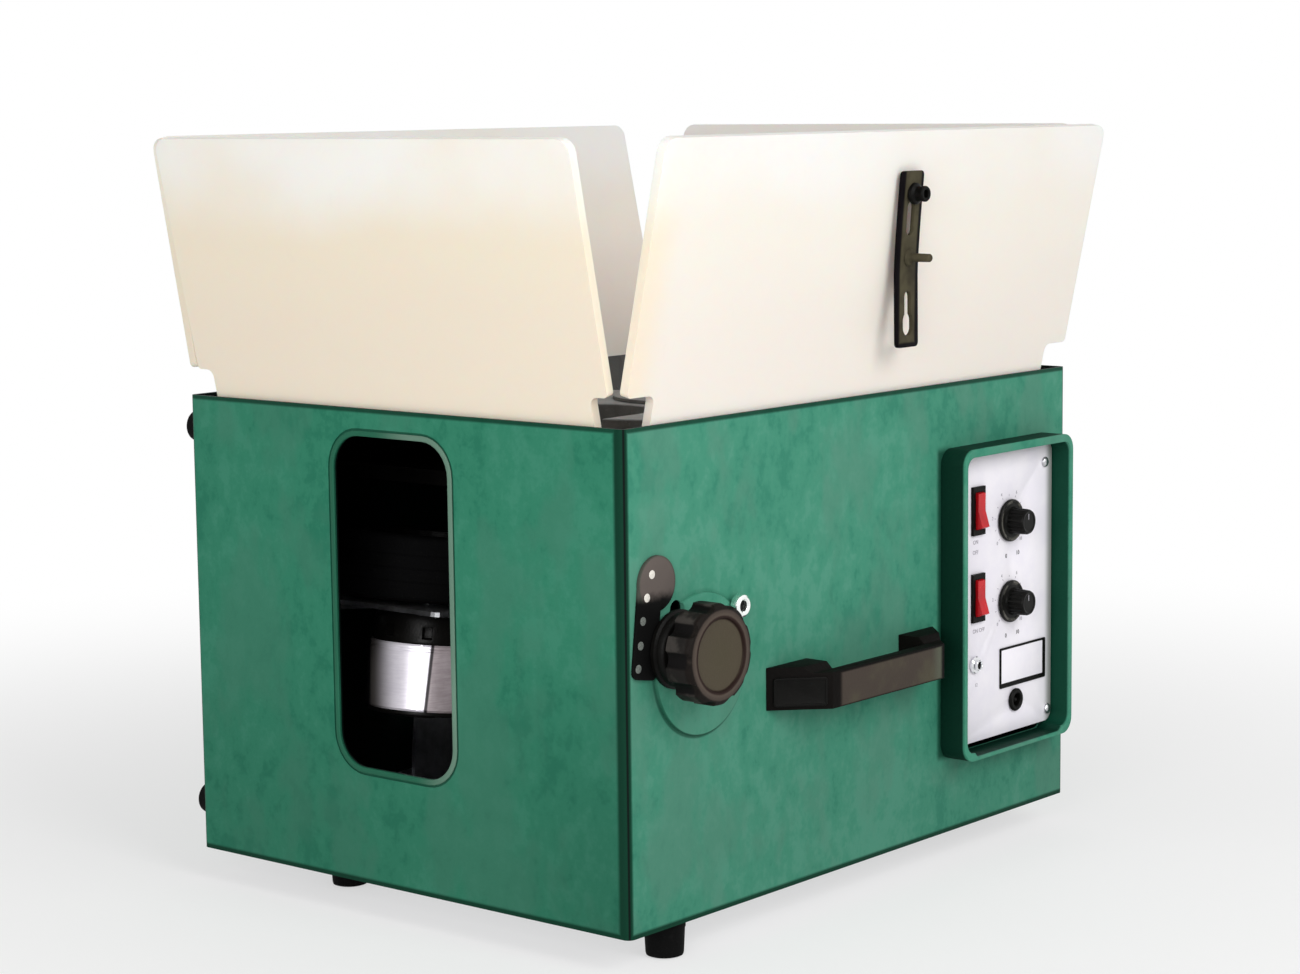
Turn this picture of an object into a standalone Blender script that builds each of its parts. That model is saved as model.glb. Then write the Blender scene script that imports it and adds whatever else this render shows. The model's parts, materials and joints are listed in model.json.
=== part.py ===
"""Pickleball machine: an open hopper, a feed carousel and a tilting head with two throwing wheels.

Metres, +Z up. The origin is on the floor under the middle of the casing, the ball exit faces -Y and the
control side faces +X. Heights named ..._Z are measured from the casing's lower edge.
"""

from math import asin, cos, degrees, hypot, pi, radians, sin, tan

import bmesh
import bpy
from mathutils import Matrix, Vector

# Gaps
FIT = 0.0003
SHAFT_FIT = 0.0003
RUNNING_GAP = 0.001

# Casing
CASING_WIDTH = 0.375
CASING_DEPTH = 0.480
CASING_HEIGHT = 0.305
CASING_WALL = 0.0027
CASING_CORNER = 0.005
PAN_SHEET = 0.002
PAN_FLANGE = 0.018
FOOT_HEIGHT = 0.022
FOOT_RADIUS = 0.013
FOOT_TIP_RADIUS = 0.0118
FOOT_RIGHT_X = 0.172
FOOT_LEFT_X = -0.100
FOOT_REAR_X = 0.100
FOOT_Y = 0.189
SIDE_FOOT_HEIGHT = 0.022
SIDE_FOOT_RADIUS = 0.0118
SIDE_FOOT_TIP_RADIUS = 0.0108
SIDE_FOOT_Y = 0.2135
SIDE_FOOT_LOW_Z = 0.026
SIDE_FOOT_HIGH_Z = 0.281

# Ball exit
WINDOW_WIDTH = 0.100
WINDOW_LOW_Z = 0.074
WINDOW_HIGH_Z = 0.288
WINDOW_RADIUS = 0.030
WINDOW_LIP = 0.006
WINDOW_LIP_DEPTH = 0.0012

# Throwing head, drawn level about its pivot
PIVOT_Y = -0.020
PIVOT_Z = 0.150
REST_TILT = radians(8)
TILT_DOWN = radians(6)
TILT_UP = radians(7.5)
CHEEK_OUTER_X = 0.171
CHEEK_SHEET = 0.003
CHEEK_PIVOT_RADIUS = 0.016
CHEEK_STUD_RADIUS = 0.013
PLATE_SHEET = 0.003
PLATE_TOP = -0.006
PLATE_FRONT = -0.150
PLATE_REAR = 0.028
NOTCH_HALF_WIDTH = 0.033
NOTCH_REAR = 0.012
PIN_RADIUS = 0.0035
PIN_HEAD_RADIUS = 0.0055
PIN_HEAD = 0.0035
BRACKET_GAP = 0.0033
BRACKET_SHEET = 0.003
BRACKET_FOOT = 0.026
BRACKET_WIDTH = 0.060

# Throwing wheels and motors
WHEEL_X = 0.097
WHEEL_Y = -0.092
WHEEL_RADIUS = 0.065
WHEEL_TALL = 0.044
WHEEL_BOTTOM = -0.002
TYRE_THICKNESS = 0.015
HUB_BOSS_RADIUS = 0.014
HUB_WEB = 0.010
SHAFT_RADIUS = 0.005
SHAFT_TOP = 0.030
MOTOR_RADIUS = 0.0375
MOTOR_CAN_TOP = -0.026
MOTOR_CAN_BOTTOM = -0.075
MOTOR_BELL_RADIUS = 0.0355
MOTOR_TAIL = 0.008
MOTOR_TAIL_RADIUS = 0.012

# Ball guide
BALL_RADIUS = 0.037
TROUGH_CLEARANCE = 0.0015
TROUGH_SHEET = 0.002
TROUGH_FRONT = -0.088
TROUGH_REAR = 0.010
TROUGH_FLANGE = 0.012
GUIDE_HALF_WIDTH = 0.040
GUIDE_FRONT = -0.050
GUIDE_TOP = 0.026

# Elevation clamp on the right wall
STUD_REACH = 0.179
STUD_ANGLE = radians(6.5)
STUD_RADIUS = 0.0045
STUD_HEAD_RADIUS = 0.009
STUD_HEAD = 0.0035
SLOT_WIDTH = 0.011
PAD_INSET = 0.028
PAD_Y = PIVOT_Y - STUD_REACH + PAD_INSET
PAD_Z = 0.157
PAD_RADIUS = 0.0435
WASHER_RADIUS = 0.0285
WASHER_SHEET = 0.0095
WASHER_ROUNDING = 0.0015
KNOB_RADIUS = 0.0305
KNOB_LOBES = 10
KNOB_SCALLOP = 0.0030
KNOB_BACK = 0.0215
KNOB_FACE = 0.038
KNOB_STEM_RADIUS = 0.0165
KNOB_ROUNDING = 0.0025
KNOB_DISH_RADIUS = 0.0225
KNOB_DISH_DEPTH = 0.0012
STUD_END = 0.025
SCALE_SHEET = 0.002
SCALE_LOW_Z = 0.1545
SCALE_EDGE_LOW_Y = PAD_Y - 0.0635
SCALE_LOBE_Y = PAD_Y - 0.0430
SCALE_LOBE_Z = 0.2115
SCALE_LOBE_RADIUS = 0.0165
SCALE_PAD_GAP = 0.001
SCALE_TOP_ANGLE = radians(136)
SCALE_LOW_ANGLE = radians(183)
LATCH_STUD_ANGLE = radians(40.6)
LATCH_STUD_RADIUS = 0.0076
LATCH_SHANK_RADIUS = 0.0032
LATCH_STUD_RISE = 0.009
LATCH_STUD_LIFT = 0.003
LATCH_STUD_BORE = 0.0038
LATCH_STUD_BORE_DEPTH = 0.0055

# Ball feed
DECK_TOP_Z = 0.250
DECK_SHEET = 0.003
DECK_FLANGE = 0.010
DECK_FRONT_Y = -0.120
CAROUSEL_Y = 0.050
CAROUSEL_RADIUS = 0.145
CAROUSEL_TALL = 0.038
CAROUSEL_EDGE = 0.003
POCKETS = 6
POCKET_REACH = 0.102
POCKET_RADIUS = 0.041
DROP_RADIUS = 0.042
CHUTE_WALL = 0.0025
CHUTE_LOW_Z = 0.222
CHUTE_FLANGE = 0.010
HUB_CAP_RADIUS = 0.052
HUB_CAP_TALL = 0.026
HUB_CAP_TOP_RADIUS = 0.011
FEED_SHAFT_RADIUS = 0.006
FEED_SHAFT_TOP = 0.030
GEARBOX_WIDTH = 0.090
GEARBOX_DEPTH = 0.070
GEARBOX_TALL = 0.028
GEARBOX_CORNER = 0.010
FEED_MOTOR_RADIUS = 0.019
FEED_MOTOR_LENGTH = 0.055
FEED_MOTOR_SHIFT = 0.020

# Hopper
HOPPER_LEAN = radians(12)
HOPPER_RISE = 0.1678
HOPPER_STEP = 0.0177
HOPPER_INSET = CASING_WALL + FIT
HOPPER_SHEET = 0.006
HOPPER_TAB = 0.014
FRONT_HALF = 0.1765
FRONT_TAB_HALF = 0.163
SIDE_HALF = 0.237
SIDE_TAB_HALF = 0.212
RIM_RADIUS = 0.009
STEP_RADIUS = 0.005
SHOULDER_RADIUS = 0.003
PANEL_EDGE = 0.001
FLOOR_EDGE_Z = 0.300
FLOOR_BOWL_Z = 0.268
FLOOR_SHEET = 0.003
FLOOR_BOWL_GAP = 0.005
FLOOR_SIDES = 48

# Strap on the right hopper panel, heights along the panel from the casing's top edge
STRAP_Y = 0.013
STRAP_WIDTH = 0.026
STRAP_LOW = 0.029
STRAP_HIGH = 0.1485
STRAP_SHEET = 0.004
STRAP_BOW = 0.0020
STRAP_END_GAP = 0.0006
STRAP_CORNER = 0.006
STRAP_BUTTON = 0.1298
STRAP_SLOT_LOW = 0.101
STRAP_SLOT_WIDTH = 0.009
STRAP_PEG = 0.0869
STRAP_PEG_RADIUS = 0.0030
STRAP_PEG_LENGTH = 0.019
STRAP_BOSS_RADIUS = 0.0062
STRAP_BOSS = 0.0025
KEYHOLE_TOP = 0.065
KEYHOLE_LOW = 0.043
KEYHOLE_RADIUS = 0.006
KEYHOLE_SLOT_WIDTH = 0.0075
BUTTON_RADIUS = 0.0068
BUTTON_NECK_RADIUS = 0.0052
BUTTON_SHANK_RADIUS = 0.0038
BUTTON_RISE = 0.0102
BUTTON_HOLLOW_RADIUS = 0.0026
BUTTON_HOLLOW = 0.005

# Control box on the right wall
BOX_Y = 0.1525
BOX_Z = 0.153
BOX_WIDTH = 0.129
BOX_TALL = 0.218
BOX_RISE = 0.020
BOX_WALL = 0.004
BOX_CORNER = 0.010
BOX_ROUNDING = 0.003
BOX_LEDGE = 0.005
BOX_LEDGE_SHEET = 0.0035
CONTROL_SHEET = 0.0015
SWITCH_Y = 0.120
SWITCH_HIGH_Z = BOX_Z + 0.064
SWITCH_LOW_Z = BOX_Z + 0.0046
BEZEL_WIDTH = 0.0145
BEZEL_TALL = 0.033
BEZEL_SHEET = 0.002
SWITCH_BODY_WIDTH = 0.0118
SWITCH_BODY_TALL = 0.0285
SWITCH_BODY_DEPTH = 0.018
ROCKER_WIDTH = 0.0085
ROCKER_RADIUS = 0.0126
ROCKER_SWING = radians(8)
ROCKER_PIVOT = 0.0008
ROCKER_RIDGE = 0.0034
ROCKER_TIP = 0.0052
ROCKER_HEEL = 0.0035
DIAL_HIGH_Y = 0.1595
DIAL_HIGH_Z = BOX_Z + 0.053
DIAL_LOW_Y = 0.160
DIAL_LOW_Z = BOX_Z - 0.003
DIAL_SKIRT_RADIUS = 0.0155
DIAL_SKIRT = 0.003
DIAL_RADIUS = 0.0105
DIAL_TIP_RADIUS = 0.0090
DIAL_LENGTH = 0.0165
DIAL_FLUTES = 12
DIAL_FLUTE_DEPTH = 0.0008
POT_RADIUS = 0.0085
POT_DEPTH = 0.009
POT_BUSH_RADIUS = 0.0045
POT_SHAFT_RADIUS = 0.003
POT_SHAFT = 0.012
JACK_Y = 0.117
JACK_Z = BOX_Z - BOX_TALL / 2 + 0.068
JACK_RADIUS = 0.0058
JACK_BUSH_RADIUS = 0.0036
JACK_BORE_RADIUS = 0.002
JACK_DEPTH = 0.013
SOCKET_Y = 0.167
SOCKET_Z = BOX_Z - BOX_TALL / 2 + 0.036
SOCKET_RADIUS = 0.0070
SOCKET_BODY_RADIUS = 0.0056
SOCKET_BORE_RADIUS = 0.0042
SOCKET_DEPTH = 0.014
BOARD_SHEET = 0.0016
BOARD_NEAR_Y = 0.132
BOARD_FAR_Y = 0.206
BOARD_LOW_Z = SOCKET_Z + 0.018
BOARD_HIGH_Z = DIAL_HIGH_Z + 0.022
BOARD_RELAY_TALL = 0.016
BOARD_SINK_TALL = 0.012
BOARD_CONNECTOR_TALL = 0.009

# Carry handle
HANDLE_LOW_Z = 0.117
HANDLE_HIGH_Z = 0.1465
HANDLE_GRIP_Z = 0.140
HANDLE_WALL_Z = 0.1385
HANDLE_SHOULDER = 0.013
HANDLE_DIP = 0.015
HANDLE_DIP_BEND = 0.012
HANDLE_FRONT_Y = -0.107
HANDLE_REAR_Y = 0.078
HANDLE_GRIP_FRONT_Y = -0.075
HANDLE_GRIP_REAR_Y = 0.043
HANDLE_RISE = 0.030
HANDLE_THICKNESS = 0.009
HANDLE_BEND = 0.010
HANDLE_EDGE = 0.0025
HANDLE_CAP_LENGTH = 0.034
HANDLE_CAP_WIDTH = 0.018
HANDLE_CAP_SHEET = 0.002

# Battery
BATTERY_WIDTH = 0.181
BATTERY_DEPTH = 0.077
BATTERY_TALL = 0.167
BATTERY_REAR_GAP = 0.025
BATTERY_EDGE = 0.003
CLAMP_WIDTH = 0.022
CLAMP_SHEET = 0.002
CLAMP_FOOT = 0.016

HALF_WIDTH = CASING_WIDTH / 2
HALF_DEPTH = CASING_DEPTH / 2
CASING_TOP = FOOT_HEIGHT + CASING_HEIGHT
INNER_HALF_WIDTH = HALF_WIDTH - CASING_WALL
INNER_HALF_DEPTH = HALF_DEPTH - CASING_WALL
BALL_CENTRE = WHEEL_BOTTOM + WHEEL_TALL / 2
CONTROL_FACE = FIT + BOX_LEDGE_SHEET + FIT + CONTROL_SHEET
PAD_RISE = FIT + SCALE_SHEET

NAME = "pickleball_machine"
ROUND = 32
SMALL_ROUND = 20


def clear_scene():
    for obj in list(bpy.data.objects):
        bpy.data.objects.remove(obj)


def new_collection(name):
    made = bpy.data.collections.new(name)
    bpy.context.scene.collection.children.link(made)
    return made


def material(name, colour, roughness, metallic=0.0):
    made = bpy.data.materials.new(name)
    made.use_nodes = True
    shader = made.node_tree.nodes["Principled BSDF"]
    shader.inputs["Base Color"].default_value = (*colour, 1.0)
    shader.inputs["Roughness"].default_value = roughness
    shader.inputs["Metallic"].default_value = metallic
    made.diffuse_color = (*colour, 1.0)
    return made


def frame(origin, x_axis, y_axis):
    """A placement whose local x and y follow the given directions; its z is their cross product."""
    x = Vector(x_axis).normalized()
    y = Vector(y_axis).normalized()
    turn = Matrix((x, y, x.cross(y))).transposed().to_4x4()
    return Matrix.Translation(origin) @ turn


def right_wall(y=0.0, z=0.0, proud=0.0):
    """On the right wall's outside: local x is +Y, local y is up and local z points out of the wall."""
    return frame((HALF_WIDTH + proud, y, FOOT_HEIGHT + z), (0, 1, 0), (0, 0, 1))


def left_wall(y, z):
    return frame((-HALF_WIDTH, y, FOOT_HEIGHT + z), (0, -1, 0), (0, 0, 1))


def front_wall():
    return frame((0, -HALF_DEPTH, FOOT_HEIGHT), (1, 0, 0), (0, 0, 1))


def upright(x, y, z):
    return Matrix.Translation((x, y, z))


def head_point(x, dy, dz):
    """A place on the level head, from its distance to the pivot axis."""
    return Vector((x, PIVOT_Y + dy, FOOT_HEIGHT + PIVOT_Z + dz))


def hopper_frame(side):
    """Outer face of one hopper panel: local x runs along the casing's edge and local y up the panel."""
    outward = {"front": (0, -1, 0), "rear": (0, 1, 0), "left": (-1, 0, 0), "right": (1, 0, 0)}[side]
    outward = Vector(outward)
    reach = (HALF_DEPTH if side in ("front", "rear") else HALF_WIDTH) - HOPPER_INSET
    along = Vector((0, 0, 1)).cross(outward)
    up = outward * sin(HOPPER_LEAN) + Vector((0, 0, cos(HOPPER_LEAN)))
    return frame(outward * reach + Vector((0, 0, CASING_TOP)), along, up)


def link(obj, collection):
    collection.objects.link(obj)
    return obj


def finish(obj, name, look, parent=None, smooth=None):
    """Names a piece, gives it its material and puts it among the parts."""
    for holder in list(obj.users_collection):
        holder.objects.unlink(obj)
    link(obj, PARTS)
    obj.name = name
    obj.data.name = name
    obj.data.materials.clear()
    obj.data.materials.append(look)
    if smooth is not None and obj.type == "MESH":
        obj.data.shade_smooth()
        obj.data.set_sharp_from_angle(angle=radians(smooth))
    if parent is not None:
        attach(obj, parent)
    return obj


def attach(obj, parent):
    """Parents a piece and the helpers of its Booleans, which stay where they are."""
    bpy.context.view_layer.update()
    for piece in [obj] + [modifier.object for modifier in obj.modifiers if modifier.type == "BOOLEAN"]:
        world = piece.matrix_world.copy()
        piece.parent = parent
        piece.matrix_parent_inverse = parent.matrix_world.inverted()
        piece.matrix_world = world


def axis_empty(name, placement, parent=None):
    """An empty on a joint's axis, which its pieces are parented to."""
    empty = link(bpy.data.objects.new(name, None), PARTS)
    empty.empty_display_size = 0.03
    empty.matrix_world = placement
    if parent is not None:
        empty.parent = parent
        empty.matrix_parent_inverse = parent.matrix_world.inverted()
        empty.matrix_world = placement
    bpy.context.view_layer.update()
    return empty


def box(low, high):
    size = [b - a for a, b in zip(low, high)]
    middle = [(a + b) / 2 for a, b in zip(low, high)]
    bpy.ops.mesh.primitive_cube_add(size=1.0, location=middle)
    obj = bpy.context.object
    obj.scale = size
    bpy.ops.object.transform_apply(location=False, rotation=False, scale=True)
    return obj


def local_box(placement, low, high):
    obj = box(low, high)
    obj.matrix_world = placement @ Matrix.Translation(obj.location)
    return obj


def arc(centre, radius, start, end, steps):
    """Points on an arc, both ends included, angles in radians."""
    turns = [start + (end - start) * i / steps for i in range(steps + 1)]
    return [(centre[0] + radius * cos(t), centre[1] + radius * sin(t)) for t in turns]


def filleted(corners, steps=4):
    """A closed outline from (x, y, radius) corners, each corner rounded to its radius."""
    points = []
    for i, (x, y, radius) in enumerate(corners):
        here = Vector((x, y))
        if radius == 0:
            points.append((x, y))
            continue
        back = (Vector(corners[i - 1][:2]) - here).normalized()
        ahead = (Vector(corners[(i + 1) % len(corners)][:2]) - here).normalized()
        half = back.angle(ahead) / 2
        centre = here + (back + ahead).normalized() * (radius / sin(half))
        start = here + back * (radius / tan(half)) - centre
        turn = start.angle_signed(here + ahead * (radius / tan(half)) - centre)
        for k in range(steps + 1):
            spoke = start.copy()
            spoke.rotate(Matrix.Rotation(-turn * k / steps, 2))
            points.append(tuple(centre + spoke))
    return points


def rectangle(width, height, radius=0.0, centre=(0.0, 0.0), steps=4):
    x, y = centre
    w = width / 2
    h = height / 2
    corners = [(x - w, y - h), (x + w, y - h), (x + w, y + h), (x - w, y + h)]
    return filleted([(*corner, radius) for corner in corners], steps)


def circle(radius, centre=(0.0, 0.0), steps=SMALL_ROUND):
    return arc(centre, radius, 0, 2 * pi, steps)[:-1]


def slot_outline(start, end, width, steps=6):
    """A straight slot with round ends between two centres."""
    heading = (Vector(end) - Vector(start)).normalized()
    turn = Vector((1, 0)).angle_signed(heading) if heading.length else 0
    turn = -turn
    first = arc(start, width / 2, turn + pi / 2, turn + 3 * pi / 2, steps)
    return first + arc(end, width / 2, turn - pi / 2, turn + pi / 2, steps)


def outline(loops, thickness, placement, start=0.0):
    """A flat piece from closed loops, the first its rim and the rest its holes, from start upwards."""
    curve = bpy.data.curves.new("outline", "CURVE")
    curve.dimensions = "2D"
    curve.fill_mode = "BOTH"
    curve.extrude = thickness / 2
    for loop in loops:
        spline = curve.splines.new("POLY")
        spline.points.add(len(loop) - 1)
        spline.use_cyclic_u = True
        for point, (x, y) in zip(spline.points, loop):
            point.co = (x, y, 0, 1)
    obj = link(bpy.data.objects.new("outline", curve), PARTS)
    obj.matrix_world = placement @ Matrix.Translation((0, 0, start + thickness / 2))
    return obj


def meshed(obj):
    """The curve as a mesh with its caps joined on, ready for a Boolean or a Bevel."""
    bpy.context.view_layer.update()
    graph = bpy.context.evaluated_depsgraph_get()
    mesh = bpy.data.meshes.new_from_object(obj.evaluated_get(graph))
    edit = bmesh.new()
    edit.from_mesh(mesh)
    bmesh.ops.remove_doubles(edit, verts=edit.verts, dist=1e-6)
    bmesh.ops.recalc_face_normals(edit, faces=edit.faces)
    edit.to_mesh(mesh)
    edit.free()
    made = link(bpy.data.objects.new(obj.name, mesh), PARTS)
    made.matrix_world = obj.matrix_world
    bpy.data.objects.remove(obj)
    return made


def solid_outline(loops, thickness, placement, start=0.0):
    return meshed(outline(loops, thickness, placement, start))


def turned(profile, placement, steps=ROUND):
    """A turned shape: (radius, height) points that run down its outer side, top to bottom."""
    closed = profile[0][0] > 0 or profile[-1][0] > 0
    edit = bmesh.new()
    rim = [edit.verts.new((radius, 0, height)) for radius, height in profile]
    for a, b in zip(rim, rim[1:]):
        edit.edges.new((a, b))
    if closed:
        edit.edges.new((rim[-1], rim[0]))
    mesh = bpy.data.meshes.new("turned")
    edit.to_mesh(mesh)
    edit.free()
    obj = link(bpy.data.objects.new("turned", mesh), PARTS)
    obj.matrix_world = placement
    screw = obj.modifiers.new("turn", "SCREW")
    screw.steps = steps
    screw.render_steps = steps
    screw.use_merge_vertices = True
    screw.merge_threshold = 1e-6
    screw.use_smooth_shade = True
    return obj


def applied(obj):
    """The object with its modifiers made part of its mesh."""
    bpy.context.view_layer.update()
    graph = bpy.context.evaluated_depsgraph_get()
    mesh = bpy.data.meshes.new_from_object(obj.evaluated_get(graph))
    obj.modifiers.clear()
    obj.data = mesh
    return obj


def disc(radius, low, high, placement, steps=ROUND):
    return turned([(0, high), (radius, high), (radius, low), (0, low)], placement, steps)


def boolean(obj, other, operation="DIFFERENCE"):
    """Cuts or joins another object, which becomes a hidden helper."""
    for holder in list(other.users_collection):
        holder.objects.unlink(other)
    link(other, CUTTERS)
    other.hide_render = True
    other.display_type = "WIRE"
    other.name = "helper_" + operation.lower()
    modifier = obj.modifiers.new(operation.lower(), "BOOLEAN")
    modifier.operation = operation
    modifier.object = other
    return obj


def bevelled(obj, width, segments=2, angle=40):
    modifier = obj.modifiers.new("edges", "BEVEL")
    modifier.width = width
    modifier.segments = segments
    modifier.limit_method = "ANGLE"
    modifier.angle_limit = radians(angle)
    return obj


def open_tray(low, high, corner, thickness, open_faces):
    """A thin-walled box with round upright corners; open_faces holds -1 and/or 1, for bottom and top."""
    obj = box(low, high)
    edit = bmesh.new()
    edit.from_mesh(obj.data)
    gone = [f for f in edit.faces if any(f.normal.z * way > 0.9 for way in open_faces)]
    bmesh.ops.delete(edit, geom=gone, context="FACES")
    posts = [e for e in edit.edges if abs((e.verts[0].co - e.verts[1].co).z) > (high[2] - low[2]) / 2]
    bmesh.ops.bevel(edit, geom=posts, offset=corner, segments=4, profile=0.5, affect="EDGES")
    edit.to_mesh(obj.data)
    edit.free()
    wall = obj.modifiers.new("wall", "SOLIDIFY")
    wall.thickness = thickness
    wall.offset = -1
    wall.use_even_offset = True
    return obj


def slot_arc():
    """The arc slot that the elevation stud runs in, on the right wall."""
    low = STUD_ANGLE - TILT_DOWN
    high = STUD_ANGLE + TILT_UP
    pivot = (PIVOT_Y, PIVOT_Z)
    inner = STUD_REACH - SLOT_WIDTH / 2
    outer = STUD_REACH + SLOT_WIDTH / 2
    top = (PIVOT_Y - STUD_REACH * cos(high), PIVOT_Z + STUD_REACH * sin(high))
    bottom = (PIVOT_Y - STUD_REACH * cos(low), PIVOT_Z + STUD_REACH * sin(low))
    rim = arc(pivot, outer, pi - high, pi - low, 8)
    rim += arc(bottom, SLOT_WIDTH / 2, pi - low, 2 * pi - low, 6)[1:-1]
    rim += arc(pivot, inner, pi - low, pi - high, 8)
    rim += arc(top, SLOT_WIDTH / 2, -high, pi - high, 6)[1:-1]
    return rim


def casing_shell():
    low = (-HALF_WIDTH, -HALF_DEPTH, FOOT_HEIGHT)
    high = (HALF_WIDTH, HALF_DEPTH, CASING_TOP)
    shell = applied(open_tray(low, high, CASING_CORNER, CASING_WALL, (-1, 1)))
    window_tall = WINDOW_HIGH_Z - WINDOW_LOW_Z
    middle = (0, (WINDOW_HIGH_Z + WINDOW_LOW_Z) / 2)
    lip = rectangle(
        WINDOW_WIDTH + 2 * WINDOW_LIP, window_tall + 2 * WINDOW_LIP, WINDOW_RADIUS + WINDOW_LIP, middle, 6
    )
    opening = rectangle(WINDOW_WIDTH, window_tall, WINDOW_RADIUS, middle, 6)
    boolean(shell, solid_outline([lip], 2 * WINDOW_LIP_DEPTH, front_wall(), -WINDOW_LIP_DEPTH))
    boolean(shell, solid_outline([opening], 4 * CASING_WALL, front_wall(), -2 * CASING_WALL))
    pad = disc(PAD_RADIUS, -CASING_WALL / 2, PAD_RISE, right_wall(PAD_Y, PAD_Z))
    boolean(shell, pad, "UNION")
    boolean(shell, solid_outline([slot_arc()], 4 * CASING_WALL, right_wall(), -2 * CASING_WALL))
    hatch = rectangle(*ledge_opening(), BOX_CORNER - BOX_WALL, (BOX_Y, BOX_Z))
    boolean(shell, solid_outline([hatch], 4 * CASING_WALL, right_wall(), -2 * CASING_WALL))
    return finish(shell, "casing_shell", GREEN_CASING, smooth=30)


def base_pan():
    low = (-INNER_HALF_WIDTH + FIT, -INNER_HALF_DEPTH + FIT, FOOT_HEIGHT)
    high = (INNER_HALF_WIDTH - FIT, INNER_HALF_DEPTH - FIT, FOOT_HEIGHT + PAN_FLANGE)
    corner = CASING_CORNER - CASING_WALL
    return finish(open_tray(low, high, corner, PAN_SHEET, (1,)), "base_pan", ZINC_STEEL, smooth=30)


def foot_profile(height, top_radius, tip_radius):
    """A rubber foot, tip down: its head, a slight taper, a rounded tip and the screw's recess."""
    rounding = 0.0015
    recess = tip_radius * 0.35
    depth = height * 0.4
    rim = [(0, height), (top_radius, height), (tip_radius, rounding)]
    rim += [(tip_radius - rounding, 0), (recess, 0), (recess, depth), (0, depth)]
    return rim


def feet():
    profile = foot_profile(FOOT_HEIGHT - FIT, FOOT_RADIUS, FOOT_TIP_RADIUS)
    places = {
        "front_left": (FOOT_LEFT_X, -FOOT_Y),
        "front_right": (FOOT_RIGHT_X, -FOOT_Y),
        "rear_left": (-FOOT_REAR_X, FOOT_Y),
        "rear_right": (FOOT_REAR_X, FOOT_Y),
    }
    for place, (x, y) in places.items():
        foot = turned(profile, upright(x, y, 0), SMALL_ROUND)
        finish(foot, f"foot_{place}", BLACK_RUBBER)
    profile = foot_profile(SIDE_FOOT_HEIGHT, SIDE_FOOT_RADIUS, SIDE_FOOT_TIP_RADIUS)
    tip_down = Matrix.Translation((0, 0, FIT + SIDE_FOOT_HEIGHT)) @ Matrix.Rotation(pi, 4, "X")
    for end, y in (("front", -SIDE_FOOT_Y), ("rear", SIDE_FOOT_Y)):
        for level, z in (("lower", SIDE_FOOT_LOW_Z), ("upper", SIDE_FOOT_HIGH_Z)):
            foot = turned(profile, left_wall(y, z) @ tip_down, SMALL_ROUND)
            finish(foot, f"side_foot_{end}_{level}", BLACK_RUBBER)


def deck_hole(radius, y):
    return disc(radius, -2 * DECK_SHEET, 2 * DECK_SHEET, upright(0, y, FOOT_HEIGHT + DECK_TOP_Z))


def feed_deck():
    low = (-INNER_HALF_WIDTH + FIT, DECK_FRONT_Y, FOOT_HEIGHT + DECK_TOP_Z - DECK_FLANGE)
    high = (INNER_HALF_WIDTH - FIT, INNER_HALF_DEPTH - FIT, FOOT_HEIGHT + DECK_TOP_Z)
    deck = applied(open_tray(low, high, CASING_CORNER - CASING_WALL, DECK_SHEET, (-1,)))
    boolean(deck, deck_hole(DROP_RADIUS, CAROUSEL_Y - POCKET_REACH))
    boolean(deck, deck_hole(FEED_SHAFT_RADIUS + RUNNING_GAP, CAROUSEL_Y))
    return finish(deck, "feed_deck", BLACK_PLASTIC, smooth=30)


def drop_chute():
    top = DECK_TOP_Z - DECK_SHEET - FIT - CHUTE_LOW_Z
    inner = DROP_RADIUS
    outer = DROP_RADIUS + CHUTE_WALL
    flange = outer + CHUTE_FLANGE
    profile = [(inner, top), (flange, top), (flange, top - CHUTE_WALL), (outer, top - CHUTE_WALL)]
    profile += [(outer, 0), (inner, 0)]
    place = upright(0, CAROUSEL_Y - POCKET_REACH, FOOT_HEIGHT + CHUTE_LOW_Z)
    return finish(turned(profile, place), "drop_chute", BLACK_PLASTIC)


def feed_gearmotor():
    top = FOOT_HEIGHT + DECK_TOP_Z - DECK_SHEET - FIT
    place = upright(0, CAROUSEL_Y, top)
    case = rectangle(GEARBOX_WIDTH, GEARBOX_DEPTH, GEARBOX_CORNER, (FEED_MOTOR_SHIFT / 2, 0))
    motor = solid_outline([case], GEARBOX_TALL, place, -GEARBOX_TALL)
    shaft_end = DECK_SHEET + FIT + FEED_SHAFT_TOP
    boolean(motor, disc(FEED_SHAFT_RADIUS, -GEARBOX_TALL / 2, shaft_end, place, SMALL_ROUND), "UNION")
    can_low = -GEARBOX_TALL - FEED_MOTOR_LENGTH
    can = disc(FEED_MOTOR_RADIUS, can_low, -GEARBOX_TALL / 2, place @ upright(FEED_MOTOR_SHIFT, 0, 0))
    boolean(motor, can, "UNION")
    return finish(motor, "feed_gearmotor", DULL_STEEL, smooth=30)


def carousel_outline():
    """A round disc with U-shaped pockets that open at its rim."""
    half = asin(POCKET_RADIUS / CAROUSEL_RADIUS)
    step = 2 * pi / POCKETS
    points = []
    for i in range(POCKETS):
        middle = i * step - pi / 2
        centre = (POCKET_REACH * cos(middle), POCKET_REACH * sin(middle))
        points += arc(centre, POCKET_RADIUS, middle + 1.5 * pi, middle + pi / 2, 10)
        points += arc((0, 0), CAROUSEL_RADIUS, middle + half, middle + step - half, 5)
    return points


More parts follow.
